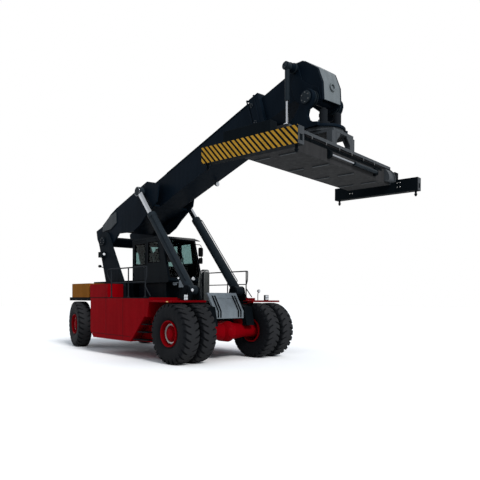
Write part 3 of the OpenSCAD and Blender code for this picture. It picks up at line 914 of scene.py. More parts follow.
def brick(low: Vec, high: Vec) -> Patch:
    """A block between its lowest and its highest corner."""
    return slab([(low[0], low[2]), (high[0], low[2]), (high[0], high[2]), (low[0], high[2])], low[1], high[1])


def both(patches: list[Patch]) -> list[Patch]:
    """Patches of the left side, and the same mirrored to the right."""
    return patches + [patch.mirrored() for patch in patches]


def outline_bars(corners: list[Vec], radius: float) -> list[Patch]:
    """A round bar along each side of a closed outline."""
    return [tube([a, b], radius, steps=2, sides=8) for a, b in zip(corners, corners[1:] + corners[:1])]


@dataclass(frozen=True)
class Plan:
    """Pivots and axes of the machine, read from the frame's joints."""

    joints: dict[str, dict]
    lift_y: float = 0.9
    shift: float = 0.06

    def pivot(self, joint: str) -> Array:
        """Where a hinge is."""
        return np.array(self.joints[joint]["pos_m"], float)

    def along(self, joint: str) -> Array:
        """A joint's axis as a unit vector."""
        axis = np.array(self.joints[joint]["axis"], float)
        return axis / np.linalg.norm(axis)

    def drive(self) -> Basis:
        """Axes whose origin lies on the floor under the middle of the drive axle."""
        return Basis(self.pivot("drive_roll_left") * (1, 0, 0), *np.eye(3))

    def boom(self) -> Basis:
        """Axes along the boom, from its pivot."""
        ahead, left = -self.along("boom_extend"), np.array(ACROSS)
        return Basis(self.pivot("boom_lift"), ahead, left, np.cross(ahead, left))

    def lift(self) -> Basis:
        """Axes of the left lift cylinder.

        Returns:
            The axes, X along the cylinder from its lower pin and Y to the left.
        """
        ahead, left = self.along("lift_rod_stroke"), np.array(ACROSS)
        ahead = ahead if ahead[2] > 0 else -ahead
        foot = self.pivot("lift_barrel_swing") * (1, 0, 1) + (0, self.lift_y, 0)
        return Basis(foot, ahead, left, np.cross(ahead, left))

    def spreader(self, shifted: bool = True) -> Basis:
        """Axes of the spreader, from the floor under the rotator.

        Args:
            shifted: Whether the side shift's offset at rest is counted.

        Returns:
            The axes, X across the main beam and Y along it to the left.
        """
        left = self.along("side_shift")
        left = left if left[1] > 0 else -left
        origin = self.pivot("rotator") * (1, 1, 0) + left * (self.shift if shifted else 0.0)
        return Basis(origin, np.cross(left, UP), left, np.array(UP))


def reach_of(node: str, along: Array, origin: Array | Vec = (0.0, 0.0, 0.0)) -> float:
    """How far a CAD node reaches along a direction: the greatest dot product of its points.

    Args:
        node: Name of the node.
        along: The direction, as a unit vector.
        origin: Where the distance starts.

    Returns:
        The distance.
    """
    mesh = frame["nodes"][node].data
    points = np.zeros(len(mesh.vertices) * 3, np.float32)
    mesh.vertices.foreach_get("co", points)
    return float(((points.reshape(-1, 3) - origin) @ along).max())


@dataclass
class Machine:
    """The finishes of the CAD nodes."""

    plan: Plan
    shop: PaintShop
    stripe_pitch: float = 0.122
    stripe_top: float = 5.048
    stripe_lean: float = 0.9
    stripe_depth: float = 0.004

    def dress(self) -> None:
        """Puts a finish on every CAD node."""
        sides = ("left", "right")
        plain = {
            Finish.CRIMSON: ["drive_axle", "steer_axle", "side_tanks", "front_fenders", "rear_lockers",
                             *(f"{part}_{s}" for part in ("drive_rims", "steer_rim") for s in sides)],
            Finish.BLACK: ["chassis_frame", "deck_plates", "cylinder_feet", "engine_hood",
                           "boarding_steps", "headlamps", *(f"knuckle_{s}" for s in sides),
                           *(f"steer_tyre_{s}" for s in sides), *(f"drive_tyres_{s}" for s in sides)],
            Finish.TOWER: ["boom_towers"],
            Finish.PIPE: ["handrails"],
            Finish.SLATE: ["boom_root", "boom_outer", "boom_inner", "boom_head"],
            # The barrels' lighter slate is partly painted highlight; the light greys of the slewing table,
            # the spreader's beam and the nose plate are painted front light on the dark paint, partly pale
            # paint of their own.
            Finish.PALE_SLATE_AND_SHEEN: ["yoke", "lift_barrel_left", "lift_barrel_right", "damper_barrels"],
            Finish.GREY: ["slew_table"],
            Finish.LIT_BEAM_GREY: ["spreader_beam"],
            Finish.STONE: ["nose_plate"],
            Finish.OCHRE: ["counterweight"],
            Finish.CASTING: ["engine_block", "rotator_motors"],
            Finish.CAB: ["cab_shell", "cab_door_left", "cab_door_right"],
            Finish.MOULDING: ["driver_seat"],
            Finish.CHROME: ["lift_rod_left", "lift_rod_right", "damper_rods"],
        }
        for finish, nodes in plain.items():
            for node in nodes:
                self.shop.dress(node, self.shop.paint(finish))
            LOG.info("%s on %d nodes", finish.name.lower(), len(nodes))
        for node in ("cab_glass", "door_glass_left", "door_glass_right"):
            self.shop.dress(node, self.shop.glass())
        self._end_beams()

    def _end_beams(self) -> None:
        """Warning bands on the outer face of each end beam."""
        out = self.plan.spreader().y
        run = (out[1], -out[0], 0.0)
        for side, node in ((1, "end_beam_left"), (-1, "end_beam_right")):
            face = reach_of(node, side * out) - self.stripe_depth
            stripes = {"Along": run, "Out": tuple(side * out), "Face": face, "Pitch": self.stripe_pitch,
                       "Lean": self.stripe_lean, "Top": self.stripe_top}
            self.shop.dress(node, self.shop.paint(Finish.BLACK, stripes, f"striped_{node}"))


@dataclass
class Wheels:
    """Lugged tyres in place of the plain ones, and the rings, nuts and hubs of the rims.

    Each corner of half_profile is a distance from the tyre's middle, a radius and the
    depth of a groove there.
    """

    plan: Plan
    shop: PaintShop
    workshop: Workshop
    radius: float = 0.83
    twin: float = 0.295
    drive_cap: float = 0.15
    steer_cap: float = 0.16
    lugs: int = 27
    groove_y: Vec = (0.06, 0.19, 0.25)
    groove_wide: Vec = (0.12, 0.27, 0.36)
    groove_wall: float = 0.05
    groove_sweep: float = 0.42
    groove_bend: float = 1.5
    land: float = 0.9
    section_middle: Pair = (0.0, 0.6)
    half_profile: tuple[Vec, ...] = (
        (0, .83, 0), (.03, .8298, 0), (.06, .8296, 0), (.07, .8295, .03), (.1, .829, .034),
        (.135, .828, .036), (.165, .8265, .038), (.19, .823, .04), (.212, .814, .042), (.228, .798, .042),
        (.238, .775, .036), (.2445, .75, .026), (.2475, .725, .012), (.249, .7, 0), (.25, .66, 0),
        (.25, .62, 0), (.2485, .58, 0), (.244, .53, 0), (.236, .48, 0), (.224, .44, 0), (.2165, .43, 0),
        (.212, .415, 0), (.2, .4, 0), (.19, .385, 0), (.185, .362, 0), (.1, .361, 0), (0, .361, 0))

    def build(self) -> None:
        """Builds the tyres and the rim fittings of both axles."""
        for sign, side in ((1, "left"), (-1, "right")):
            hub = self.plan.pivot(f"drive_roll_{side}")
            across = np.array(ACROSS) * sign
            pair = [self._tyre(hub + across * step, across) for step in (-self.twin, self.twin)]
            self._rubber(f"drive_tread_{side}", pair, f"drive_wheels_{side}", hub, across,
                         f"drive_tyres_{side}")
            self._fittings(f"drive_{side}", hub + across * self.twin, across, f"drive_wheels_{side}",
                           self.drive_cap)
            hub, across = self.plan.pivot(f"steer_roll_{side}"), self.plan.along(f"steer_roll_{side}")
            across = across * sign * np.sign(across[1])
            self._rubber(f"steer_tread_{side}", [self._tyre(hub, across)], f"steer_wheel_{side}", hub, across,
                         f"steer_tyre_{side}")
            self._fittings(f"steer_{side}", hub, across, f"steer_wheel_{side}", self.steer_cap)

    def _rubber(self, name: str, patches: list[Patch], body: str, hub: Array, across: Array,
                node: str) -> None:
        """Makes the tyres of one wheel in place of its CAD node."""
        rubber = self.shop.rubber(f"rubber_{name}", tuple(hub), tuple(across), self.radius)
        self.workshop.make(name, patches, body, rubber, slot="tyre_black", stands_for=node, sharp=32)

    def _tyre(self, centre: Array, axis: Array) -> Patch:
        """A tyre: its section carried round the axle, pressed inwards along its own normal in each groove.

        A groove swings round the axle by a power of its distance from the middle, it grows
        wider outwards, and those of the two sides are half a step apart.

        Args:
            centre: Middle of the tyre.
            axis: Unit vector along the axle, outwards.

        Returns:
            The closed patch.
        """
        half = np.array(self.half_profile)
        full = np.vstack([half, half[-2:0:-1] * (-1, 1, 1)])
        y, r, depth = full.T
        ahead = np.roll(full, -1, 0)[:, :2] - np.roll(full, 1, 0)[:, :2]
        normal = np.stack([-ahead[:, 1], ahead[:, 0]], 1)
        normal /= np.linalg.norm(normal, axis=1, keepdims=True)
        normal *= np.sign((normal * (full[:, :2] - self.section_middle)).sum(1))[:, None]
        wide = np.interp(np.abs(y), self.groove_y, self.groove_wide)
        wall, start = self.groove_wall, self.groove_y[0]
        share = np.stack([np.full_like(wide, -wall), np.zeros_like(wide), wide, wide + wall,
                          *(wide + wall + (self.land - wide) * k / 4 for k in (1, 2, 3))], 1)
        past = np.clip(np.abs(y) - start, 0, None) / self.groove_y[1]
        sweep = self.groove_sweep * past**self.groove_bend + np.interp(y, (-start, start), (0.5, 0.0))
        lug = np.arange(self.lugs)[None, :, None]
        turn = (lug + share[:, None] + sweep[:, None, None]) * 2 * math.pi / self.lugs
        cut = np.array([0, 1, 1, 0, 0, 0, 0]) * depth[:, None, None] * np.ones_like(turn)
        out = (r[:, None, None] - cut * normal[:, 1, None, None])[..., None]
        side = (y[:, None, None] - cut * normal[:, 0, None, None])[..., None]
        rise = np.array(UP)
        front = np.cross(rise, axis)
        points = side * axis + out * (np.cos(turn)[..., None] * front + np.sin(turn)[..., None] * rise)
        rows, cols = len(y), self.lugs * share.shape[1]
        return Patch((centre + points).reshape(-1, 3), quads(rows, cols, closed_rows=True))

    def _fittings(self, name: str, hub: Array, across: Array, body: str, face: float) -> None:
        """A silver nut ring, its nuts, the hub's cap and the valve of one rim.

        Args:
            name: Start of the pieces' names.
            hub: Middle of the outer rim.
            across: Unit vector along the axle, outwards.
            body: The body that the pieces move with.
            face: Distance from the hub to the cap's foot.
        """
        ring = collar([(.1, .226), (.132, .232), (.136, .24), (.136, .276), (.126, .284), (.1, .29)],
                      hub, across)
        lip = collar([(.2195, .327), (.236, .33), (.241, .345), (.236, .358), (.2195, .3595)], hub, across)
        up = np.array(UP)
        nuts = ring_of(bolt(hub + across * 0.136 + up * 0.257, across, 0.016), 24, hub, across)
        self.workshop.make(f"{name}_ring", [ring], body, Finish.ZINC)
        self.workshop.make(f"{name}_nuts", nuts, body, Finish.ZINC)
        cap = lathe([(face, .15), (face + .02, .146), (face + .032, .12), (face + .04, .06),
                     (face + .042, .03)], hub, across)
        studs = ring_of(bolt(hub + across * face + up * 0.17, across, 0.013), 12, hub, across, 0.1)
        self.workshop.make(f"{name}_cap", [cap, lip, *studs], body, Finish.CRIMSON)
        valve = tube([tuple(hub + up * 0.3 + across * 0.1), tuple(hub + up * 0.31 + across * 0.17)],
                     0.008, 3, 8)
        self.workshop.make(f"{name}_valve", [valve], body, Finish.CASTING)


@dataclass
class Chassis:
    """Rails, lips, lamps, covers and hoses of the chassis, measured from the drive axle."""

    drive: Basis
    workshop: Workshop
    rail_y: float = 1.99
    rail_z: float = 2.7
    knee_z: float = 2.26
    deck: float = 1.81
    nose_half: float = 0.56
    rib_wide: float = 0.024
    rib_y: Pair = (0.33, 0.425)
    fender_x: float = 0.212
    cover_y: Pair = (2.046, 2.0515)
    intake_y: float = 0.979
    intake_lean: float = 0.055 / 0.7
    girder_z: float = 1.654
    lamp_y: Pair = (1.5, 1.64)
    marker_y: float = 1.3
    tower_y: float = 0.95
    spools: int = 5
    spool_step: float = 0.055
    hoses: int = 4
    hose_step: float = 0.05
    lines: int = 5
    line_step: float = 0.045
    post_y: Pair = (0.2, 0.44)

    def build(self) -> None:
        """Builds each fitting."""
        self._rails()
        self._nose()
        self._covers()
        self._lamps()
        self._tower()
        self._valves()
        self._hoses()

    def _make(self, name: str, patches: list[Patch], finish: Finish, **more: object) -> None:
        """Makes a piece on the chassis from patches measured from the drive axle."""
        self.workshop.make(name, [self.drive.move(p) for p in patches], "chassis", finish, **more)

    def _rails(self) -> None:
        """Knee rail, sloping ends and feet of the walkway's rails."""
        y, deck, knee, top = self.rail_y, self.deck, self.knee_z, self.rail_z
        bars = [tube([(-3.17, y, knee), (-1.22, y, knee)], .017),
                tube([(-1.215, y, 2.12), (-.95, y, deck + .03)], .016),
                tube([(-3.19, y, top), (-3.36, y, 2.69), (-3.42, y, 2.62), (-3.40, y, 2.5), (-3.18, y, 2.3)],
                     .018),
                tube([(-1.2, y, top), (-1.16, y, 2.69), (-1.15, y, 2.64), (-1.16, y, 2.4), (-1.21, y, knee)],
                     .018)]
        foot = [(0, .05), (.012, .05), (.016, .03), (.05, .026)]
        feet = [lathe(foot, (x, y, deck), UP, 20) for x in (-3.17, -2.15, -1.22)]
        self._make("rail_bars", both(bars + feet), Finish.PIPE)

    def _nose(self) -> None:
        """Upper plate of the nose with its lip, and two pairs of ribs on its face."""
        upper = [(-.052, 1.792), (-.158, 1.955), (-.205, 1.955), (-.25, 1.93), (-.25, 1.91), (-.2, 1.925),
                 (-.098, 1.79)]
        # The nose's pale stone grey is painted front light on the dark paint, partly pale paint of its own.
        self._make("nose_upper", [slab(upper, -self.nose_half, self.nose_half)], Finish.STONE, bevel=.006)
        rib = [(.215, 1.24), (.215, 1.43), (-.06, 1.87), (-.11, 1.88), (.181, 1.421), (.181, 1.24)]
        ribs = both([slab(rib, y, y + self.rib_wide) for y in self.rib_y])
        self._make("nose_ribs", ribs, Finish.BLACK, bevel=.003)

    def _covers(self) -> None:
        """Lips of the fenders, joints of the side covers, the air intake and the cover between the girders.

        The intake is a stack of rectangles, and the thin black bars of painted shade in its slots follow the
        lean of its inner face.
        """
        front, (y0, y1) = self.fender_x, self.cover_y
        lips = [brick((.187, .9, 1.68), (front, 2.07, 1.712)),
                brick((-.88, 2.048, 1.68), (front, 2.071, 1.712))]
        self._make("fender_lips", both(lips), Finish.CRIMSON, bevel=.004)
        seams = [brick((x, y0, .52), (x + .012, y1, 1.785)) for x in (-3.42, -2.38)]
        seams.append(brick((-4.3, y0, .64), (-1.95, y1, .652)))
        self._make("cover_joints", both(seams), Finish.BLACK)
        rings = [((-3.32, -2.40), (.98, 1.32), 1.81), ((-3.25, -2.47), (1.03, 1.28), 2.59),
                 ((-3.21, -2.51), (1.055, 1.255), 2.62), ((-3.12, -2.60), (1.07, 1.24), 2.62),
                 ((-3.10, -2.61), (1.075, 1.235), 2.655)]
        box = np.array([[(x[0], y[0], z), (x[1], y[0], z), (x[1], y[1], z), (x[0], y[1], z)]
                        for x, y, z in rings])
        levels = np.arange(1.95, 2.5, .06)
        inner = self.intake_y + self.intake_lean * (levels - 1.9)
        # Thin black bars are painted shade inside the intake's slots.
        slots = [brick((-3.22, y, z), (-2.5, y + .004, z + .014)) for y, z in zip(inner, levels)]
        self._make("intake_box", [skin(box)], Finish.GREY, bevel=.012)
        self._make("intake_slot_shade", slots, Finish.BLACK)
        plate = brick((-2.2, -.8, 1.6403), (-.93, .8, self.girder_z))
        screws = [bolt((x, y, self.girder_z), UP, .01) for x in (-1.85, -1.5, -1.0) for y in (-.75, .75)]
        self._make("girder_cover", [plate, *screws], Finish.BLACK, bevel=.003)

    def _lamps(self) -> None:
        """Front lamps with four cells, marker lamps, reflectors and tail lamps."""
        (y0, y1), y = self.lamp_y, self.marker_y
        cells = [pillow((.15, (y0 + y1) / 2 + dy, 1.8175 + dz), (.009, .03, .035), .4, 10, 20)
                 for dy in (-.033, .033) for dz in (-.038, .038)]
        self._make("headlamp_cells", both(cells), Finish.LENS)
        rim = [brick((.148, y0, 1.735), (.158, y1, 1.743)), brick((.148, y0, 1.892), (.158, y1, 1.9)),
               brick((.148, y0, 1.74), (.158, y0 + .007, 1.895)),
               brick((.148, y1 - .007, 1.74), (.158, y1, 1.895))]
        stalk = [tube([(.03, y, 1.73), (.03, y, 1.9), (.045, y, 1.99)], .012),
                 lathe([(0, .03), (.01, .045), (.05, .052), (.055, .05)], (.035, y, 2.02), ALONG, 24)]
        self._make("headlamp_rims", both(rim + stalk), Finish.BLACK)
        lens = lathe([(0, .046), (.008, .044), (.014, .03), (.016, .01)], (.09, y, 2.02), ALONG, 24)
        self._make("marker_lenses", both([lens]), Finish.LENS)
        reflector = pillow((-.02, 2.0725, 1.697), (.045, .004, .013), .35, 8, 20)
        self._make("fender_reflectors", both([reflector]), Finish.AMBER)
        tail = pillow((-7.602, .66, 2.065), (.014, .09, .045), .3, 10, 24)
        self._make("tail_lenses", both([tail]), Finish.RUBY)

    def _tower(self) -> None:
        """Lamps and cameras on the boom's towers."""
        y = self.tower_y
        house = [brick((-5.86, y - .075, 3.26), (-5.56, y + .075, 3.46)),
                 tube([(-5.72, y - .03, 3.27), (-5.72, y - .1, 3.1)], .02),
                 tube([(-5.72, .87, 2.9), (-5.85, .92, 2.92)], .016),
                 lathe([(0, .03), (.01, .05), (.1, .05), (.11, .035)], (-5.96, y - .02, 2.95), ALONG, 24)]
        self._make("tower_lamp_boxes", both(house), Finish.BLACK, bevel=.006)
        lens = lathe([(0, .048), (.01, .045), (.016, .02)], (-5.56, y, 3.37), ALONG, 24)
        self._make("tower_lenses", both([lens]), Finish.LENS)

    def _valves(self) -> None:
        """Valve block on its stand behind the nose, with a rib and a spool for each section."""
        foot, step = self.girder_z, self.spool_step
        side = [(-1.72, foot), (-1.42, foot), (-1.48, 2.1), (-1.68, 2.1)]
        stand = [slab(side, y, y + .02) for y in (-.44, -.14)]
        stand.append(brick((-1.74, -.46, 2.1), (-1.40, -.1, 2.125)))
        self._make("valve_stand", stand, Finish.BLACK, bevel=.003)
        ribs = [brick((-1.72, -.42 + step * k, 2.31), (-1.44, -.385 + step * k, 2.36))
                for k in range(self.spools)]
        self._make("valve_block", [brick((-1.72, -.43, 2.125), (-1.44, -.13, 2.31)), *ribs], Finish.STONE,
                   bevel=.005)
        stem = [(0, .02), (.05, .02), (.055, .014), (.08, .014)]
        spools = [lathe(stem, (-1.44, -.4025 + step * k, 2.22), ALONG, 14) for k in range(self.spools)]
        self._make("valve_spools", spools, Finish.ZINC)

    def _hoses(self) -> None:
        """Hoses from the valve block to the lift cylinders, and sheathed lines over their post."""
        foot, (y0, y1) = self.girder_z, self.post_y
        hoses = [tube([(-1.42, -.4 + y, 2.16), (-1.25, -.4 + y, 2.1 - .02 * k), (-1.12, -.3, 1.9),
                       (-1.0, -.2 + y, 1.74), (-.97, .1 + y, 1.68)], .014)
                 for k, y in enumerate(self.hose_step * np.arange(self.hoses))]
        hoses += [tube([(-.62, s * .57, 1.73), (-.58, s * .7, 1.76), (-.5, s * .79, 1.86),
                        (-.47, s * .86, 1.9)], .016)
                  for s in (-1, 1)]
        self._make("valve_hoses", hoses, Finish.HOSE)
        straps = [brick((-1.3, y0, z), (-1.285, y1, z + .03)) for z in (1.9, 2.2, 2.5)]
        self._make("hose_post", [brick((-1.34, y0, foot), (-1.30, y1, 2.62)), *straps], Finish.BLACK,
                   bevel=.003)
        lines = [tube([(-1.262, y, 1.66), (-1.262, y, 2.2), (-1.262, y, 2.58), (-1.3, y, 2.68),
                       (-1.42, y, 2.66), (-1.5, y - .005, 2.5), (-1.55, y - .025, 2.0),
                       (-1.55, y - .025, 1.66)], .013)
                 for y in y0 + .025 + self.line_step * np.arange(self.lines)]
        self._make("post_hoses", lines, Finish.SHEATH)


@dataclass
class Cab:
    """Glass frames, wiper, mirrors, visor and controls of the cab, and its padded seat."""

    drive: Basis
    shop: PaintShop
    workshop: Workshop
    side: float = 0.68
    rear: float = -4.053
    slope: float = 0.2937
    foot_x: float = -1.91
    foot_z: float = 2.35
    screen_half: float = 0.6
    screen: Pair = (2.45, 3.66)
    lamp_z: float = 2.42
    seat_x: float = -3.25
    folds: int = 25
    fill: float = 0.75
    seam_pitch: float = 0.11
    seam_deep: float = 0.16

    def build(self) -> None:
        """Builds the fittings and the seat."""
        self._frames()
        self._doors()
        self._roof()
        self._mirrors()
        self._screen()
        self._controls()
        self._seat()

    def front(self, z: float, gap: float = 0.0) -> float:
        """X of the sloping front face at a height, plus a gap."""
        return self.foot_x - self.slope * (z - self.foot_z) + gap

    def _make(self, name: str, patches: list[Patch], finish: Finish, body: str = "chassis",
              **more: object) -> bpy.types.Object:
        """Makes a piece of the cab from patches measured from the drive axle."""
        return self.workshop.make(name, [self.drive.move(p) for p in patches], body, finish, **more)

    def _frames(self) -> None:
        """Rubber round the front, side and rear windows."""
        (low, high), h = self.screen, self.screen_half
        bottom, top = self.front(low, .003), self.front(high, .003)
        bars = outline_bars([(bottom, -h, low), (bottom, h, low), (top, h, high), (top, -h, high)], .014)
        window = [(-3.08, 2.95), (-2.4, 2.95), (-2.52, 3.62), (-3.08, 3.62)]
        bars += both(outline_bars([(x, self.side + .002, z) for x, z in window], .011))
        back = [(-.56, 2.95), (.56, 2.95), (.56, 3.6), (-.56, 3.6)]
        bars += outline_bars([(self.rear, y, z) for y, z in back], .012)
        self._make("window_rubbers", bars, Finish.MOULDING)

    def _doors(self) -> None:
        """Rubber round each door and its pane, and the doors' handles."""
        pane = [(-3.9, 2.9), (-3.25, 2.9), (-3.25, 3.6), (-3.9, 3.6)]
        leaf = [(-3.975, 2.385), (-3.175, 2.385), (-3.175, 3.665), (-3.975, 3.665)]
        for sign, side in ((1, "left"), (-1, "right")):
            rubber = outline_bars([(x, sign * (self.side + .002), z) for x, z in pane], .011)
            rubber += outline_bars([(x, sign * (self.side + .001), z) for x, z in leaf], .007)
            self._make(f"door_rubber_{side}", rubber, Finish.MOULDING, f"door_{side}")
            y0, y1, y2 = (sign * (self.side + out) for out in (0, .03, .034))
            handle = tube([(-3.3, y0, 2.8), (-3.3, y1, 2.81), (-3.29, y2, 2.84), (-3.21, y2, 2.84),
                           (-3.2, y1, 2.81), (-3.2, y0, 2.8)], .009)
            self._make(f"door_handle_{side}", [handle], Finish.ZINC, f"door_{side}")

    def _roof(self) -> None:
        """The visor and the gutters."""
        visor = slab([(-2.325, 3.768), (-2.31, 3.7), (-1.99, 3.65), (-1.975, 3.668), (-2.29, 3.775)],
                     -.62, .62)
        y = self.side + .005
        gutters = both([tube([(-4.04, y, 3.72), (-3.2, y, 3.735), (-2.33, y, 3.72)], .012)])
        self._make("cab_visor", [visor, *gutters], Finish.CAB, bevel=.004)

    def _mirrors(self) -> None:
        """A large and a small mirror on each side, on bent arms."""
        arms = both([tube([(-2.27, .6, 3.58), (-2.1, .63, 3.56), (-1.95, .64, 3.5), (-1.93, .64, 3.2)],
                          .012)])
        arms += both([tube([(-1.93, .64, 3.2), (-1.93, .64, 3.05)], .012)])
        self._make("mirror_arms", arms, Finish.BLACK)
        shells = both([pillow((-1.94, .62, 3.3), (.03, .085, .15), .35),
                       pillow((-1.94, .62, 3.02), (.028, .07, .1), .35)])
        self._make("mirror_shells", shells, Finish.MOULDING)
        faces = both([pillow((-1.972, .62, 3.3), (.004, .075, .138), .25),
                      pillow((-1.97, .62, 3.02), (.004, .06, .088), .25)])
        self._make("mirror_faces", faces, Finish.CHROME)

    def _screen(self) -> None:
        """The wiper, the front lamps and the step under the screen."""
        slant = (1, 0, .29)
        wiper = [tube([(self.front(z, .03), y, z) for y, z in ((.02, 2.47), (.0, 2.9), (-.01, 3.3))], .009),
                 tube([(self.front(z, .018), -.012, z) for z in (2.85, 3.2, 3.58)], .012),
                 lathe([(0, .035), (.03, .03), (.045, .015)], (self.front(2.47), .02, 2.47), slant, 20)]
        self._make("wiper", wiper, Finish.BLACK)
        x, z = self.front(self.lamp_z, -.01), self.lamp_z
        lamps = [lathe([(0, .03), (.02, .036), (.03, .03), (.034, .012)], (x, -.3, z), slant, 20),
                 lathe([(0, .055), (.02, .062), (.03, .05), (.034, .02)], (x, .3, z), slant, 24)]
        self._make("cab_lenses", lamps, Finish.LENS)
        legs = [brick((-1.95, y, 2.2), (-1.76, y + .01, 2.27)) for y in (-.49, -.17)]
        self._make("cab_step", [brick((-1.95, -.5, 2.27), (-1.74, -.15, 2.285)), *legs], Finish.STONE,
                   bevel=.003)

    def _controls(self) -> None:
        """Steering wheel on its column, a console and the lever beside the seat."""
        hub, axis = np.array([-2.36, 0.0, 3.02]), np.array([-.5, 0.0, .87])
        turn = np.linspace(0, 2 * math.pi, 12, endpoint=False)
        rim = collar(list(zip(.012 * np.sin(turn), .185 + .014 * np.cos(turn))), hub, axis, 40)
        spoke = tube([tuple(hub + (0, .02, 0)), tuple(hub + (0, .18, 0))], .01, 3, 8)
        column = [tube([(-2.24, 0, 2.36), (-2.28, 0, 2.7), tuple(hub)], .028),
                  lathe([(-.02, .04), (.01, .045), (.02, .03)], hub, axis, 24)]
        console = [brick((-3.45, -.42, 2.36), (-2.98, -.30, 2.93)),
                   tube([(-3.08, -.36, 2.93), (-3.06, -.36, 3.0)], .012),
                   pillow((-3.055, -.36, 3.03), (.022, .022, .035), .8)]
        trim = [rim, *ring_of(spoke, 3, hub, axis), *column, *console]
        self._make("cab_controls_trim", trim, Finish.MOULDING, bevel=.003)

    def _seat(self) -> None:
        """Bellows base, and crowned pads with sewn channels in place of the plain seat.

        Each fold of the bellows is a square whose half side goes in and out with a sine.
        """
        waves = .15 + .012 * np.sin(np.arange(self.folds) * math.pi / 2)
        square = np.array([(-1, -1), (1, -1), (1, 1), (-1, 1)])
        flat = (self.seat_x, 0.0) + waves[:, None, None] * square
        level = np.linspace(2.36, 2.75, self.folds)[:, None, None] * np.ones((1, 4, 1))
        self._make("seat_bellows", [skin(np.concatenate([flat, level], axis=2))], Finish.MOULDING)
        pads = {"seat_cushion": ((self.seat_x, 0, 2.815), (.25, .24, .062), 2),
                "seat_back": ((-3.438, 0, 3.13), (.062, .235, .26), 0),
                "seat_headrest": ((-3.44, 0, 3.425), (.05, .14, .055), 0)}
        for name, (centre, half, thin) in pads.items():
            pad = self.drive.move(self._pad(centre, half, thin))
            piece = self.workshop.make(name, [pad], "chassis", self.shop.cloth(), slot="seat_fabric",
                                       stands_for="driver_seat" if name == "seat_cushion" else "", sharp=60)

    def _pad(self, centre: Vec, half: Vec, thin: int) -> Patch:
        """A crowned pad: a pillow whose thickness is pinched by a narrow bell along each sewn line.

        Args:
            centre: Middle of the pad.
            half: Half of its size in X, Y and Z.
            thin: The axis of its thickness.

        Returns:
            The closed patch.
        """
        pad = pillow((0.0, 0.0, 0.0), half, .42, 40, 96)
        points = pad.points.copy()
        run, across = points[:, 0 if thin == 2 else 2], points[:, 1]
        line = np.exp(-(np.sin(math.pi * (across / self.seam_pitch + .5)) / .22) ** 2)
        line += np.exp(-(run / .008) ** 2) * .8
        edge = 1 - np.clip(np.abs(across) / half[1], 0, 1) ** 6
        points[:, thin] *= 1 - self.seam_deep * np.clip(line, 0, 1) * edge
        return Patch(points + np.asarray(centre), pad.faces)


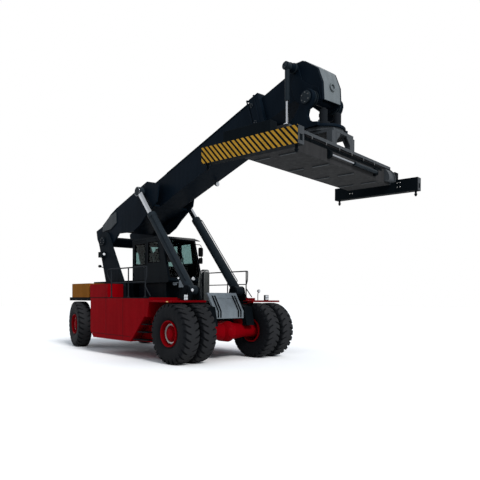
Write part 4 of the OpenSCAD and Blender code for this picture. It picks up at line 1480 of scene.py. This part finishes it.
@dataclass
class Boom:
    """Weld strips, collar rings, pad covers, caps, the head's cover and the cylinders' bolts."""

    drive: Basis
    boom: Basis
    lift: Basis
    workshop: Workshop
    wide: float = 0.42
    tall: float = 0.86
    collar_x: Pair = (7.72, 7.98)
    collar_wide: float = 0.04
    collar_z: Pair = (-0.06, 0.936)
    pad_z: Pair = (0.2, 0.7)
    lamp_y: float = 0.33
    lamp_axis: Vec = (0.927, 0, -0.375)
    pivot_y: float = 0.9
    head: Pair = (9.6248, -0.2351)
    cover_half: float = 0.3
    plate_y: Pair = (0.358, 0.378)
    main_pin: Pair = (3.5, 6.52)
    ear_pin: Pair = (2.96, 7.41)
    gland_x: float = 3.2
    eye_r: float = 0.15

    def build(self) -> None:
        """Builds the fittings of the boom, its head and the lift cylinders."""
        self._box()
        self._collars()
        self._lamp()
        self._root()
        self._head()
        self._pins()
        self._cylinders()
        self._rod_eyes()

    def _on(self, name: str, patches: list[Patch], finish: Finish, body: str = "boom",
            **more: object) -> None:
        """Makes a piece from patches in the boom's own axes."""
        self.workshop.make(name, [self.boom.move(p) for p in patches], body, finish, **more)

    def _fixed(self, name: str, patches: list[Patch], finish: Finish) -> None:
        """Makes a piece of the head, on both sides, from patches measured from the drive axle."""
        self.workshop.make(name, [self.drive.move(p) for p in both(patches)], "boom_extension", finish)

    def _box(self) -> None:
        """Welded plate edges along the outer box, and doubling plates at its mouth."""
        w, h, end = self.wide, self.tall, self.collar_x[0]
        edges = both([brick((3.8, w - .002, h - .026), (end, w + .018, h)),
                      brick((3.8, w - .002, 0), (end, w + .018, .026))])
        double = [(6.9, .03), (7.3, .09), (7.7, .36), (7.74, .83), (7.78, .83), (7.78, .03)]
        self._on("boom_edges", edges + both([slab(double, w - .002, w + .014)]), Finish.SLATE, bevel=.003)

    def _collars(self) -> None:
        """Collar rings with their lugs, and the round covers of the sliding pads."""
        w, (low, high), wide = self.wide, self.collar_z, self.collar_wide
        y, rings = w + .05, []
        for x in self.collar_x:
            rings += both([brick((x, y - .012, low), (x + wide, y + .006, high))])
            rings += [brick((x, -y, high - .03), (x + wide, y, high)),
                      brick((x, -y, low), (x + wide, y, low + .016))]
        lug = both([slab([(7.74, .905), (7.86, .905), (7.84, .985), (7.76, .985)], w - .08, w - .05)])
        self._on("collar_rings", rings + lug, Finish.SLATE, bevel=.004)
        covers, nuts = [], []
        for z in self.pad_z:
            middle = np.array([7.865, w + .045, z])
            covers.append(lathe([(0, .062), (.01, .062), (.014, .056)], middle, ACROSS, 28))
            nuts += ring_of(bolt(middle + (0, .012, .045), ACROSS, .008), 6, middle, ACROSS)
        self._on("pad_covers", both(covers), Finish.SLATE)
        self._on("pad_bolts", both(nuts), Finish.BOLT)

    def _lamp(self) -> None:
        """Work lamp on its stalk under the outer box."""
        y, axis = self.lamp_y, self.lamp_axis
        shell = lathe([(0, .045), (.05, .066), (.09, .07)], (5.11, y, -.085), axis, 28)
        self._on("boom_lamp", [tube([(5.15, y, .0), (5.15, y, -.06)], .014), shell], Finish.BLACK)
        lens = lathe([(0, .064), (.008, .06), (.012, .02)], (5.1935, y, -.1187), axis, 28)
        self._on("boom_lamp_lens", [lens], Finish.LENS)

    def _root(self) -> None:
        """Caps of the pivots with their bolts, and the flat plates over the tail."""
        y = self.pivot_y
        caps = both([lathe([(0, .16), (.02, .16), (.03, .15), (.032, .06), (.04, .05)],
                           (0, y, 0), ACROSS, 36)])
        pins = both(ring_of(bolt((0, y + .03, .12), ACROSS, .015), 8, (0, y + .03, 0), ACROSS))
        self.workshop.make("pivot_caps", [self.boom.move(p) for p in caps], "chassis", Finish.TOWER)
        self.workshop.make("pivot_bolts", [self.boom.move(p) for p in pins], "chassis", Finish.BOLT)
        hip = [(-5.98, 4.22), (-5.99, 4.45), (-5.5, 4.72), (-5.02, 4.84), (-4.99, 4.45), (-5.4, 4.26)]
        plates = [self.drive.move(p) for p in both([slab(hip, .752, .785)])]
        # The tail plates' grey is a painted highlight, lighter than the slate of the boom under them.
        self.workshop.make("tail_plates", plates, "boom", Finish.GREY, bevel=.012)

    def _head(self) -> None:
        """Folded cover and its eye, and doubling plates on the head's cheeks."""
        tip = np.array(self.head)
        fold = [(.028, 1.08), (.352, .653), (.382, .25), (.282, -.153), (.271, -.151), (.3705, .2505),
                (.3405, .6505), (.0205, 1.0705)]
        cover = slab(tip + fold, -self.cover_half, self.cover_half)
        # The cover's pale grey, and its eye's, is painted front light on the dark slate paint of the head.
        self._on("head_cover", [cover], Finish.LIT_COVER_GREY, "boom_extension", bevel=.003)
        centre = (tip[0] + .374, 0, tip[1] + .19)
        eye = collar([(0, .062), (.026, .062), (.026, .095), (0, .095)], centre, (.975, 0, -.22), 32)
        self._on("head_eye", [eye], Finish.LIT_COVER_GREY, "boom_extension")
        plate = [(-.48, .31), (-.48, .76), (-.2, 1.0), (-.14, .99), (-.13, .62), (.06, .34), (.25, .2),
                 (.24, -.13), (-.18, -.14)]
        double = both([slab(tip + plate, *self.plate_y)])
        self._on("head_doublers", double, Finish.SLATE, "boom_extension", bevel=.004)

    def _pins(self) -> None:
        """Thrust rings, caps and bolts of the head's two pins."""
        main, ear = ((x, 0, z) for x, z in (self.main_pin, self.ear_pin))
        rings = [collar([(y0, .165), (y0, .2), (y1, .2), (y1, .165)], main, ACROSS)
                 for y0, y1 in ((.378, .4), (.45, .478))]
        rings.append(collar([(.42, .1), (.42, .125), (.44, .13), (.46, .125), (.46, .1)], ear, ACROSS))
        self._fixed("head_rings", rings, Finish.PALE_SLATE_AND_SHEEN)
        caps = [lathe([(.601, .15), (.622, .15), (.63, .142), (.632, .05)], main, ACROSS, 40),
                lathe([(.7305, .075), (.75, .075), (.756, .068), (.757, .02)], ear, ACROSS, 32)]
        self._fixed("head_caps", caps, Finish.PALE_SLATE_AND_SHEEN)
        nuts = []
        for pin, y, arm, size, count in ((main, .63, .11, .014, 6), (ear, .755, .05, .009, 4)):
            nuts += ring_of(bolt(np.array(pin) + (0, y, arm), ACROSS, size), count, pin, ACROSS)
        self._fixed("head_bolts", nuts, Finish.BOLT)

    def _cylinders(self) -> None:
        """Gland rings and bolts of the lift barrels, with an oil line along each."""
        lip = [(3.05, .139), (3.05, .142), (3.06, .1435), (3.08, .1435), (3.08, .139)]
        gland = collar(lip, (0, 0, 0), ALONG)
        nuts = ring_of(bolt((self.gland_x, 0, .122), ALONG, .012), 10, (self.gland_x, 0, 0), ALONG)
        line = tube([(.3, .1, -.1), (.34, .12, -.12), (.5, .12, -.12), (1.5, .12, -.12), (2.9, .12, -.12),
                     (3.05, .115, -.11), (3.1, .105, -.1)], .013)
        for name, patches, finish in (("gland_rings", [gland], Finish.PALE_SLATE_AND_SHEEN),
                                      ("gland_bolts", nuts, Finish.BOLT),
                                      ("barrel_lines", [line], Finish.PALE_SLATE_AND_SHEEN)):
            self.workshop.make(name, both([self.lift.move(p) for p in patches]), "lift_barrels", finish)

    def _rod_eyes(self) -> None:
        """Painted bosses over the upper eyes of the lift rods."""
        end = reach_of("lift_rod_left", self.lift.x, self.lift.origin)
        rim = [(-.102, .04), (-.102, .14), (-.092, .1525), (.092, .1525), (.102, .14), (.102, .04)]
        boss = self.lift.move(lathe(rim, (end - self.eye_r, 0, 0), ACROSS, 40))
        self.workshop.make("rod_eyes", both([boss]), "lift_rods", Finish.PALE_SLATE_AND_SHEEN)


@dataclass
class Spreader:
    """Fittings of the yoke, the slewing table, the main beam and the end beams."""

    drive: Basis
    table: Basis
    beam: Basis
    workshop: Workshop
    half: float = 0.6
    beam_end: float = 2.45
    flange: float = 0.025
    floor: float = 4.86
    top: float = 5.33
    end_half: float = 1.22
    end_y: float = 2.81
    corner_y: Pair = (2.8165, 3.0235)
    corner_out: Pair = (0.0005, 0.0065)
    damper_y: float = 0.725
    arm_y: Pair = (0.48, 0.58)
    pin: Pair = (3.5, 6.52)
    lower_eye: Pair = (2.97, 5.95)
    ring_z: Pair = (5.7103, 5.7353)
    guard_y: Vec = (2.11, 2.42, 2.45)
    shift_axis: Pair = (0.66, 5.03)

    def build(self) -> None:
        """Builds the fittings from the yoke down to the end beams."""
        self._arms()
        self._swivel()
        self._dampers()
        self._table()
        self._beam()
        self._shift()
        self._ends()

    def _fixed(self, name: str, patches: list[Patch], finish: Finish, body: str = "yoke",
               **more: object) -> None:
        """Makes a piece from patches measured from the drive axle."""
        self.workshop.make(name, [self.drive.move(p) for p in patches], body, finish, **more)

    def _arms(self) -> None:
        """Waisted arms that stand on their turning plate."""
        y0, y1 = self.arm_y
        (x, z), (ex, ez) = self.pin, self.lower_eye
        arm = [(3.3, 6.5), (3.27, 6.38), (3.12, 6.16), (2.93, 6.045), (2.88, 5.99), (2.87, 5.91),
               (2.91, 5.85), (2.97, 5.8), (3.83, 5.8), (3.83, 5.885), (3.66, 5.92), (3.55, 6.0),
               (3.51, 6.12), (3.55, 6.25), (3.66, 6.38), (3.7, 6.5)]
        seat = [(3.65, 6.5), (3.61, 6.42), (3.5, 6.37), (3.39, 6.42), (3.35, 6.5)]
        boss = collar([(y0, .0905), (y0, .19), (y0 + .02, .205), (y1 - .02, .205), (y1 + .006, .19),
                       (y1 + .006, .0905)], (x, 0, z), ACROSS)
        lug = lathe([(y0, .1), (y0 + .015, .108), (y1 - .012, .108), (y1 + .0045, .095)],
                    (ex, 0, ez), ACROSS, 36)
        plate = lathe([(0, .56), (.05, .56), (.07, .55), (.07, .47), (.055, .46), (.055, .3), (.07, .29),
                       (.07, .1)], (x, 0, 5.8), UP, 64)
        rib = slab([(3.2, 5.86), (3.72, 5.86), (3.56, 5.93), (3.42, 6.02), (3.3, 5.98)], y0 - .04, y0)
        shapes = [plate, *both([slab(arm + seat, y0, y1), boss, lug, rib])]
        self._fixed("yoke_arms", shapes, Finish.SLATE, stands_for="yoke", bevel=.006)

    def _swivel(self) -> None:
        """The banded oil swivel with its hoses, and the fittings of the slewing motors."""
        bands = [(0, .13), (.02, .13), (.02, .11), (.07, .11), (.075, .118), (.095, .118), (.1, .11),
                 (.15, .11), (.155, .118), (.175, .118), (.18, .1), (.24, .095), (.25, .08)]
        self._fixed("oil_swivel", [lathe(bands, (self.pin[0], 0, 5.87), UP, 32)], Finish.STONE)
        hoses = [tube([(3.42, .09, 6.0), (3.3, .25, 6.1), (3.17, .42, 6.25), (3.2, .44, 6.4),
                       (3.24, .44, 6.46)], .014),
                 tube([(3.58, .07, 5.98), (3.66, .14, 6.06), (3.7, .2, 6.1)], .013),
                 tube([(3.45, .1, 5.94), (3.3, .3, 5.93), (3.2, .42, 5.96), (3.1, .44, 6.1)], .013)]
        self._fixed("yoke_hoses", both(hoses), Finish.HOSE)
        x, y = 3.75, .26
        studs = ring_of(bolt((x, y + .125, 5.93), UP, .012), 6, (x, y, 5.93), UP)
        cap = lathe([(0, .097), (.03, .097), (.035, .06), (.07, .055), (.075, .02)], (x, y, 6.2), UP, 28)
        motors = both([cap, brick((3.66, .2, 6.07), (3.7, .32, 6.15)), *studs])
        self._fixed("motor_fittings", motors, Finish.CASTING, bevel=.003)

    def _dampers(self) -> None:
        """Keepers with their bolts on the dampers' lower eyes."""
        y, (x, z) = self.damper_y, self.lower_eye
        keeper = lathe([(0, .055), (.008, .055), (.012, .05)], (x, y, z), ACROSS, 24)
        self._fixed("damper_keepers", both([keeper]), Finish.PALE_SLATE_AND_SHEEN, "damper_pistons")
        nuts = ring_of(bolt((x, y + .01, z + .035), ACROSS, .008), 3, (x, y, z), ACROSS)
        self._fixed("keeper_bolts", both(nuts), Finish.BOLT, "damper_pistons")

    def _table(self) -> None:
        """Flange and bolts of the slewing ring, and gussets beside the posts."""
        low, high = self.ring_z
        flange = collar([(0, .517), (0, .552), (.025, .552), (.025, .517)], (0, 0, low), UP, 64)
        nuts = ring_of(bolt((.534, 0, high), UP, .012), 36, (0, 0, high), UP)
        # The flange and the gussets share the table's grey, which is partly painted front light on the dark
        # paint.
        self.workshop.make("ring_flange", [self.table.move(flange)], "slew", Finish.GREY)
        self.workshop.make("ring_bolts", [self.table.move(p) for p in nuts], "slew", Finish.BOLT)
        web = slab([(.33, 5.637), (.16, 5.637), (.16, 5.6), (.33, 5.44)], -.012, .012, across=0)
        webs = [web.shifted((x, 0, 0)) for x in (.45, .57, -.45, -.57)]
        webs = [p if side > 0 else p.mirrored() for p in webs for side in (1, -1)]
        self.workshop.make("post_gussets", [self.table.move(p) for p in webs], "slew", Finish.GREY,
                           bevel=.003)

    def _beam(self) -> None:
        """Flanges, end plates, ribs, black sheets of painted shade for the recesses, and the rounded guard of
        the main beam.
        """
        h, e, f, z0, z1 = self.half, self.beam_end, self.flange, self.floor, self.top
        spans = ((h, h + f), (-h - f, -h))
        flanges = [brick((x0, -e, z1 - .07), (x1, e, z1)) for x0, x1 in spans]
        flanges += [brick((x0, y, z0), (x1, y + f, z1)) for x0, x1 in spans[::-1] for y in (-e, e - f)]
        # The beam's greys are partly painted front light on the dark paint.
        self._make("beam_flanges", flanges, Finish.GREY, bevel=.004)
        ribs = [brick((x - .21, y, z0 - .022), (x + .21, y + .05, z0 + .002))
                for x in (-.33, .33) for y in (-2.05, -.7, .5, 1.75)]
        self._make("beam_ribs", ribs, Finish.GREY, bevel=.004)
        # Thin black sheets under the top flanges: painted shade where the beam's face is recessed.
        panels = [brick((x0, -1.85, z1 - .19), (x1, 1.95, z1 - .07))
                  for x0, x1 in ((h, h + .004), (-h - .004, -h))]
        self._make("beam_recess_shade", panels, Finish.BLACK)
        arc = np.radians(np.linspace(-8.7, 58, 20))
        y0, y1, y2 = self.guard_y
        shape, rim = ([(.598, low), *zip(.42 + r * np.cos(arc), 4.97 + r * np.sin(arc)), (.598, high)]
                      for r, low, high in ((.33, 4.92, 5.25), (.355, 4.9, 5.275)))
        self._make("beam_guard", [slab(shape, y0, y1), slab(rim, y1, y2)], Finish.GREY, bevel=.004)

    def _shift(self) -> None:
        """The side shift's cylinder in its brackets, and two hoses in their clips above it."""
        x, z = self.shift_axis
        barrel = [(0, .03), (.0, .045), (1.13, .045), (1.13, .05), (1.17, .05), (1.17, .03)]
        self._make("shift_barrel", [lathe(barrel, (x, 1.5, z), (0, -1, 0), 24)], Finish.PALE_SLATE_AND_SHEEN)
        self._make("shift_rod", [tube([(x, .36, z), (x, -.8, z)], .02, 2, 16)], Finish.CHROME)
        bracket = [(.6, 4.93), (.69, 4.97), (.7, 5.03), (.69, 5.09), (.6, 5.16)]
        hold = [slab(bracket, y, y + .03) for y in (-.86, -.8, 1.48, 1.54)]
        self._make("shift_brackets", hold, Finish.BLACK, bevel=.004)
        pipes = [tube([(px, -1.8, pz), (px, 0, pz - .005), (px, 1.98, pz)], .012, 3)
                 for px, pz in ((.615, 5.235), (.641, 5.205))]
        self._make("beam_hoses", pipes, Finish.HOSE)
        clips = [brick((.6, y, 5.19), (.66, y + .03, 5.252)) for y in (-1.6, -1.0, -.4, .2, .8, 1.4)]
        self._make("hose_clips", clips, Finish.BOLT, bevel=.003)

    def _ends(self) -> None:
        """Pale corner plates with a rectangular opening, and studs on the inner faces, of each end beam."""
        for sign, body in ((1, "reach_left"), (-1, "reach_right")):
            y0, y1 = sorted(sign * y for y in self.corner_y)
            plates, studs = [], []
            for s in (1, -1):
                x0, x1 = sorted(s * (self.end_half + out) for out in self.corner_out)
                plates += [brick((x0, y0, 4.702), (x1, y1, 4.77)), brick((x0, y0, 4.89), (x1, y1, 5.045)),
                           brick((x0, y0, 4.765), (x1, y0 + .05, 4.895)),
                           brick((x0, y1 - .05, 4.765), (x1, y1, 4.895))]
                studs += [bolt((s * (.7 + dx), sign * self.end_y, z), (0, -sign, 0), .014)
                          for dx in (-.04, .04) for z in (4.84, 4.96)]
            self._make(f"corner_plates_{body}", plates, Finish.GREY, body)
            self._make(f"end_studs_{body}", studs, Finish.ZINC, body)

    def _make(self, name: str, patches: list[Patch], finish: Finish, body: str = "spreader",
              **more: object) -> None:
        """Makes a piece from patches in the spreader's own axes."""
        self.workshop.make(name, [self.beam.move(p) for p in patches], body, finish, **more)


@dataclass(frozen=True)
class Shot:
    """The photograph's camera: a square frame and its fitted lens."""

    place: Vec = (13.133, -10.480, 1.801)
    yaw: float = 140.80
    pitch: float = -0.75
    roll: float = 0.22
    focal_px: float = 541.0
    middle_px: Pair = (205.0, 305.1)
    frame_px: float = 480.0
    sensor_mm: float = 36.0
    far: float = 500.0

    def build(self) -> bpy.types.Object:
        """Places the camera; its matrix's columns are right, up and back.

        Returns:
            The camera.
        """
        yaw, pitch, roll = (math.radians(a) for a in (self.yaw, self.pitch, self.roll))
        ahead = np.array([math.cos(yaw) * math.cos(pitch), math.sin(yaw) * math.cos(pitch), math.sin(pitch)])
        right = np.cross(ahead, UP)
        right /= np.linalg.norm(right)
        up = np.cross(right, ahead)
        tilted = right * math.cos(roll) + up * math.sin(roll)
        data = bpy.data.cameras.new("camera")
        data.sensor_width = self.sensor_mm
        data.lens = self.focal_px / self.frame_px * self.sensor_mm
        data.shift_x = (self.frame_px / 2 - self.middle_px[0]) / self.frame_px
        data.shift_y = (self.middle_px[1] - self.frame_px / 2) / self.frame_px
        data.clip_end = self.far
        cam = bpy.data.objects.new("camera", data)
        matrix = np.eye(4)
        matrix[:3, 0], matrix[:3, 1], matrix[:3, 2] = tilted, np.cross(-ahead, tilted), -ahead
        matrix[:3, 3] = self.place
        cam.matrix_world = matrix.T.tolist()
        bpy.context.scene.collection.objects.link(cam)
        bpy.context.scene.camera = cam
        return cam


@dataclass(frozen=True)
class Lamp:
    """A distant lamp: its strength, its angles and its width in the sky, in degrees."""

    energy: float
    angles: Vec
    size: float


@dataclass
class Studio:
    """Pale floor, soft lamps and an even sky."""

    floor_half: float = 90.0
    sky: float = 0.56
    key: Lamp = Lamp(3.0, (46.0, 4.0, 78.0), 22.0)
    fill: Lamp = Lamp(0.36, (60.0, 0.0, -60.0), 60.0)

    def build(self) -> None:
        """Builds the floor, the sky and the lamps."""
        self._floor()
        self._sky()
        for name, lamp in (("key", self.key), ("fill", self.fill)):
            light = bpy.data.lights.new(name, "SUN")
            light.energy = lamp.energy
            light.angle = math.radians(lamp.size)
            obj = bpy.data.objects.new(name, light)
            obj.rotation_euler = [math.radians(a) for a in lamp.angles]
            bpy.context.scene.collection.objects.link(obj)
        bpy.context.scene.view_settings.view_transform = "Standard"

    def _floor(self) -> None:
        """A flat pale floor that keeps its shadows and shows white to the camera between them."""
        h = self.floor_half
        mesh = bpy.data.meshes.new("floor")
        mesh.from_pydata([(-h, -h, 0), (h, -h, 0), (h, h, 0), (-h, h, 0)], [], [(0, 1, 2, 3)])
        obj = bpy.data.objects.new("floor", mesh)
        bpy.context.scene.collection.objects.link(obj)
        mat, n, bsdf = PaintShop.start("floor")
        place = n.add("ShaderNodeTexCoord").outputs["Object"]
        grain = n.range(n.noise(place, 0.6, 5.0, 0.6), 0.35, 0.65, 0.0, 1.0)
        pale = n.mix(grain, (0.62, 0.62, 0.61, 1), (0.68, 0.68, 0.67, 1))
        seen = n.add("ShaderNodeLightPath").outputs["Is Camera Ray"]
        n.join(n.mix(seen, pale, (0.92, 0.92, 0.92, 1)), bsdf.inputs["Base Color"])
        bsdf.inputs["Roughness"].default_value = 0.9
        bsdf.inputs["Specular IOR Level"].default_value = 0.0
        mesh.materials.append(mat)
        obj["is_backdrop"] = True

    def _sky(self) -> None:
        """White where the camera, a gloss or a glass sees it, and a little dimmer as light."""
        world = bpy.data.worlds.new("sky")
        world.use_nodes = True
        bpy.context.scene.world = world
        n = Wire(world.node_tree)
        back = world.node_tree.nodes["Background"]
        rays = n.add("ShaderNodeLightPath").outputs
        direct = n.math("MAXIMUM", rays["Is Camera Ray"], rays["Is Glossy Ray"])
        seen = n.math("MAXIMUM", direct, rays["Is Transmission Ray"])
        n.join(n.mix(seen, (0.82, 0.9, 1.0, 1), (1.0, 1.0, 1.0, 1)), back.inputs["Color"])
        n.join(n.range(seen, 0.0, 1.0, self.sky, 1.0), back.inputs["Strength"])


def corners() -> list[list[float]]:
    """The object's lowest and highest corners as plain lists."""
    return [[float(c) for c in corner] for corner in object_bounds()]


def main() -> None:
    """Builds the looks in order."""
    logging.basicConfig(level=logging.INFO, format="%(name)s: %(message)s")
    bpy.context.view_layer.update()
    Shot().build()
    Studio().build()
    shop = PaintShop()
    workshop = Workshop(shop)
    plan = Plan({joint["name"]: joint for joint in frame["joints"]})
    Machine(plan, shop).dress()
    Wheels(plan, shop, workshop).build()
    Chassis(plan.drive(), workshop).build()
    Cab(plan.drive(), shop, workshop).build()
    Boom(plan.drive(), plan.boom(), plan.lift(), workshop).build()
    Spreader(plan.drive(), plan.spreader(False), plan.spreader(), workshop).build()
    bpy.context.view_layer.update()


if __name__ == "__main__":
    main()
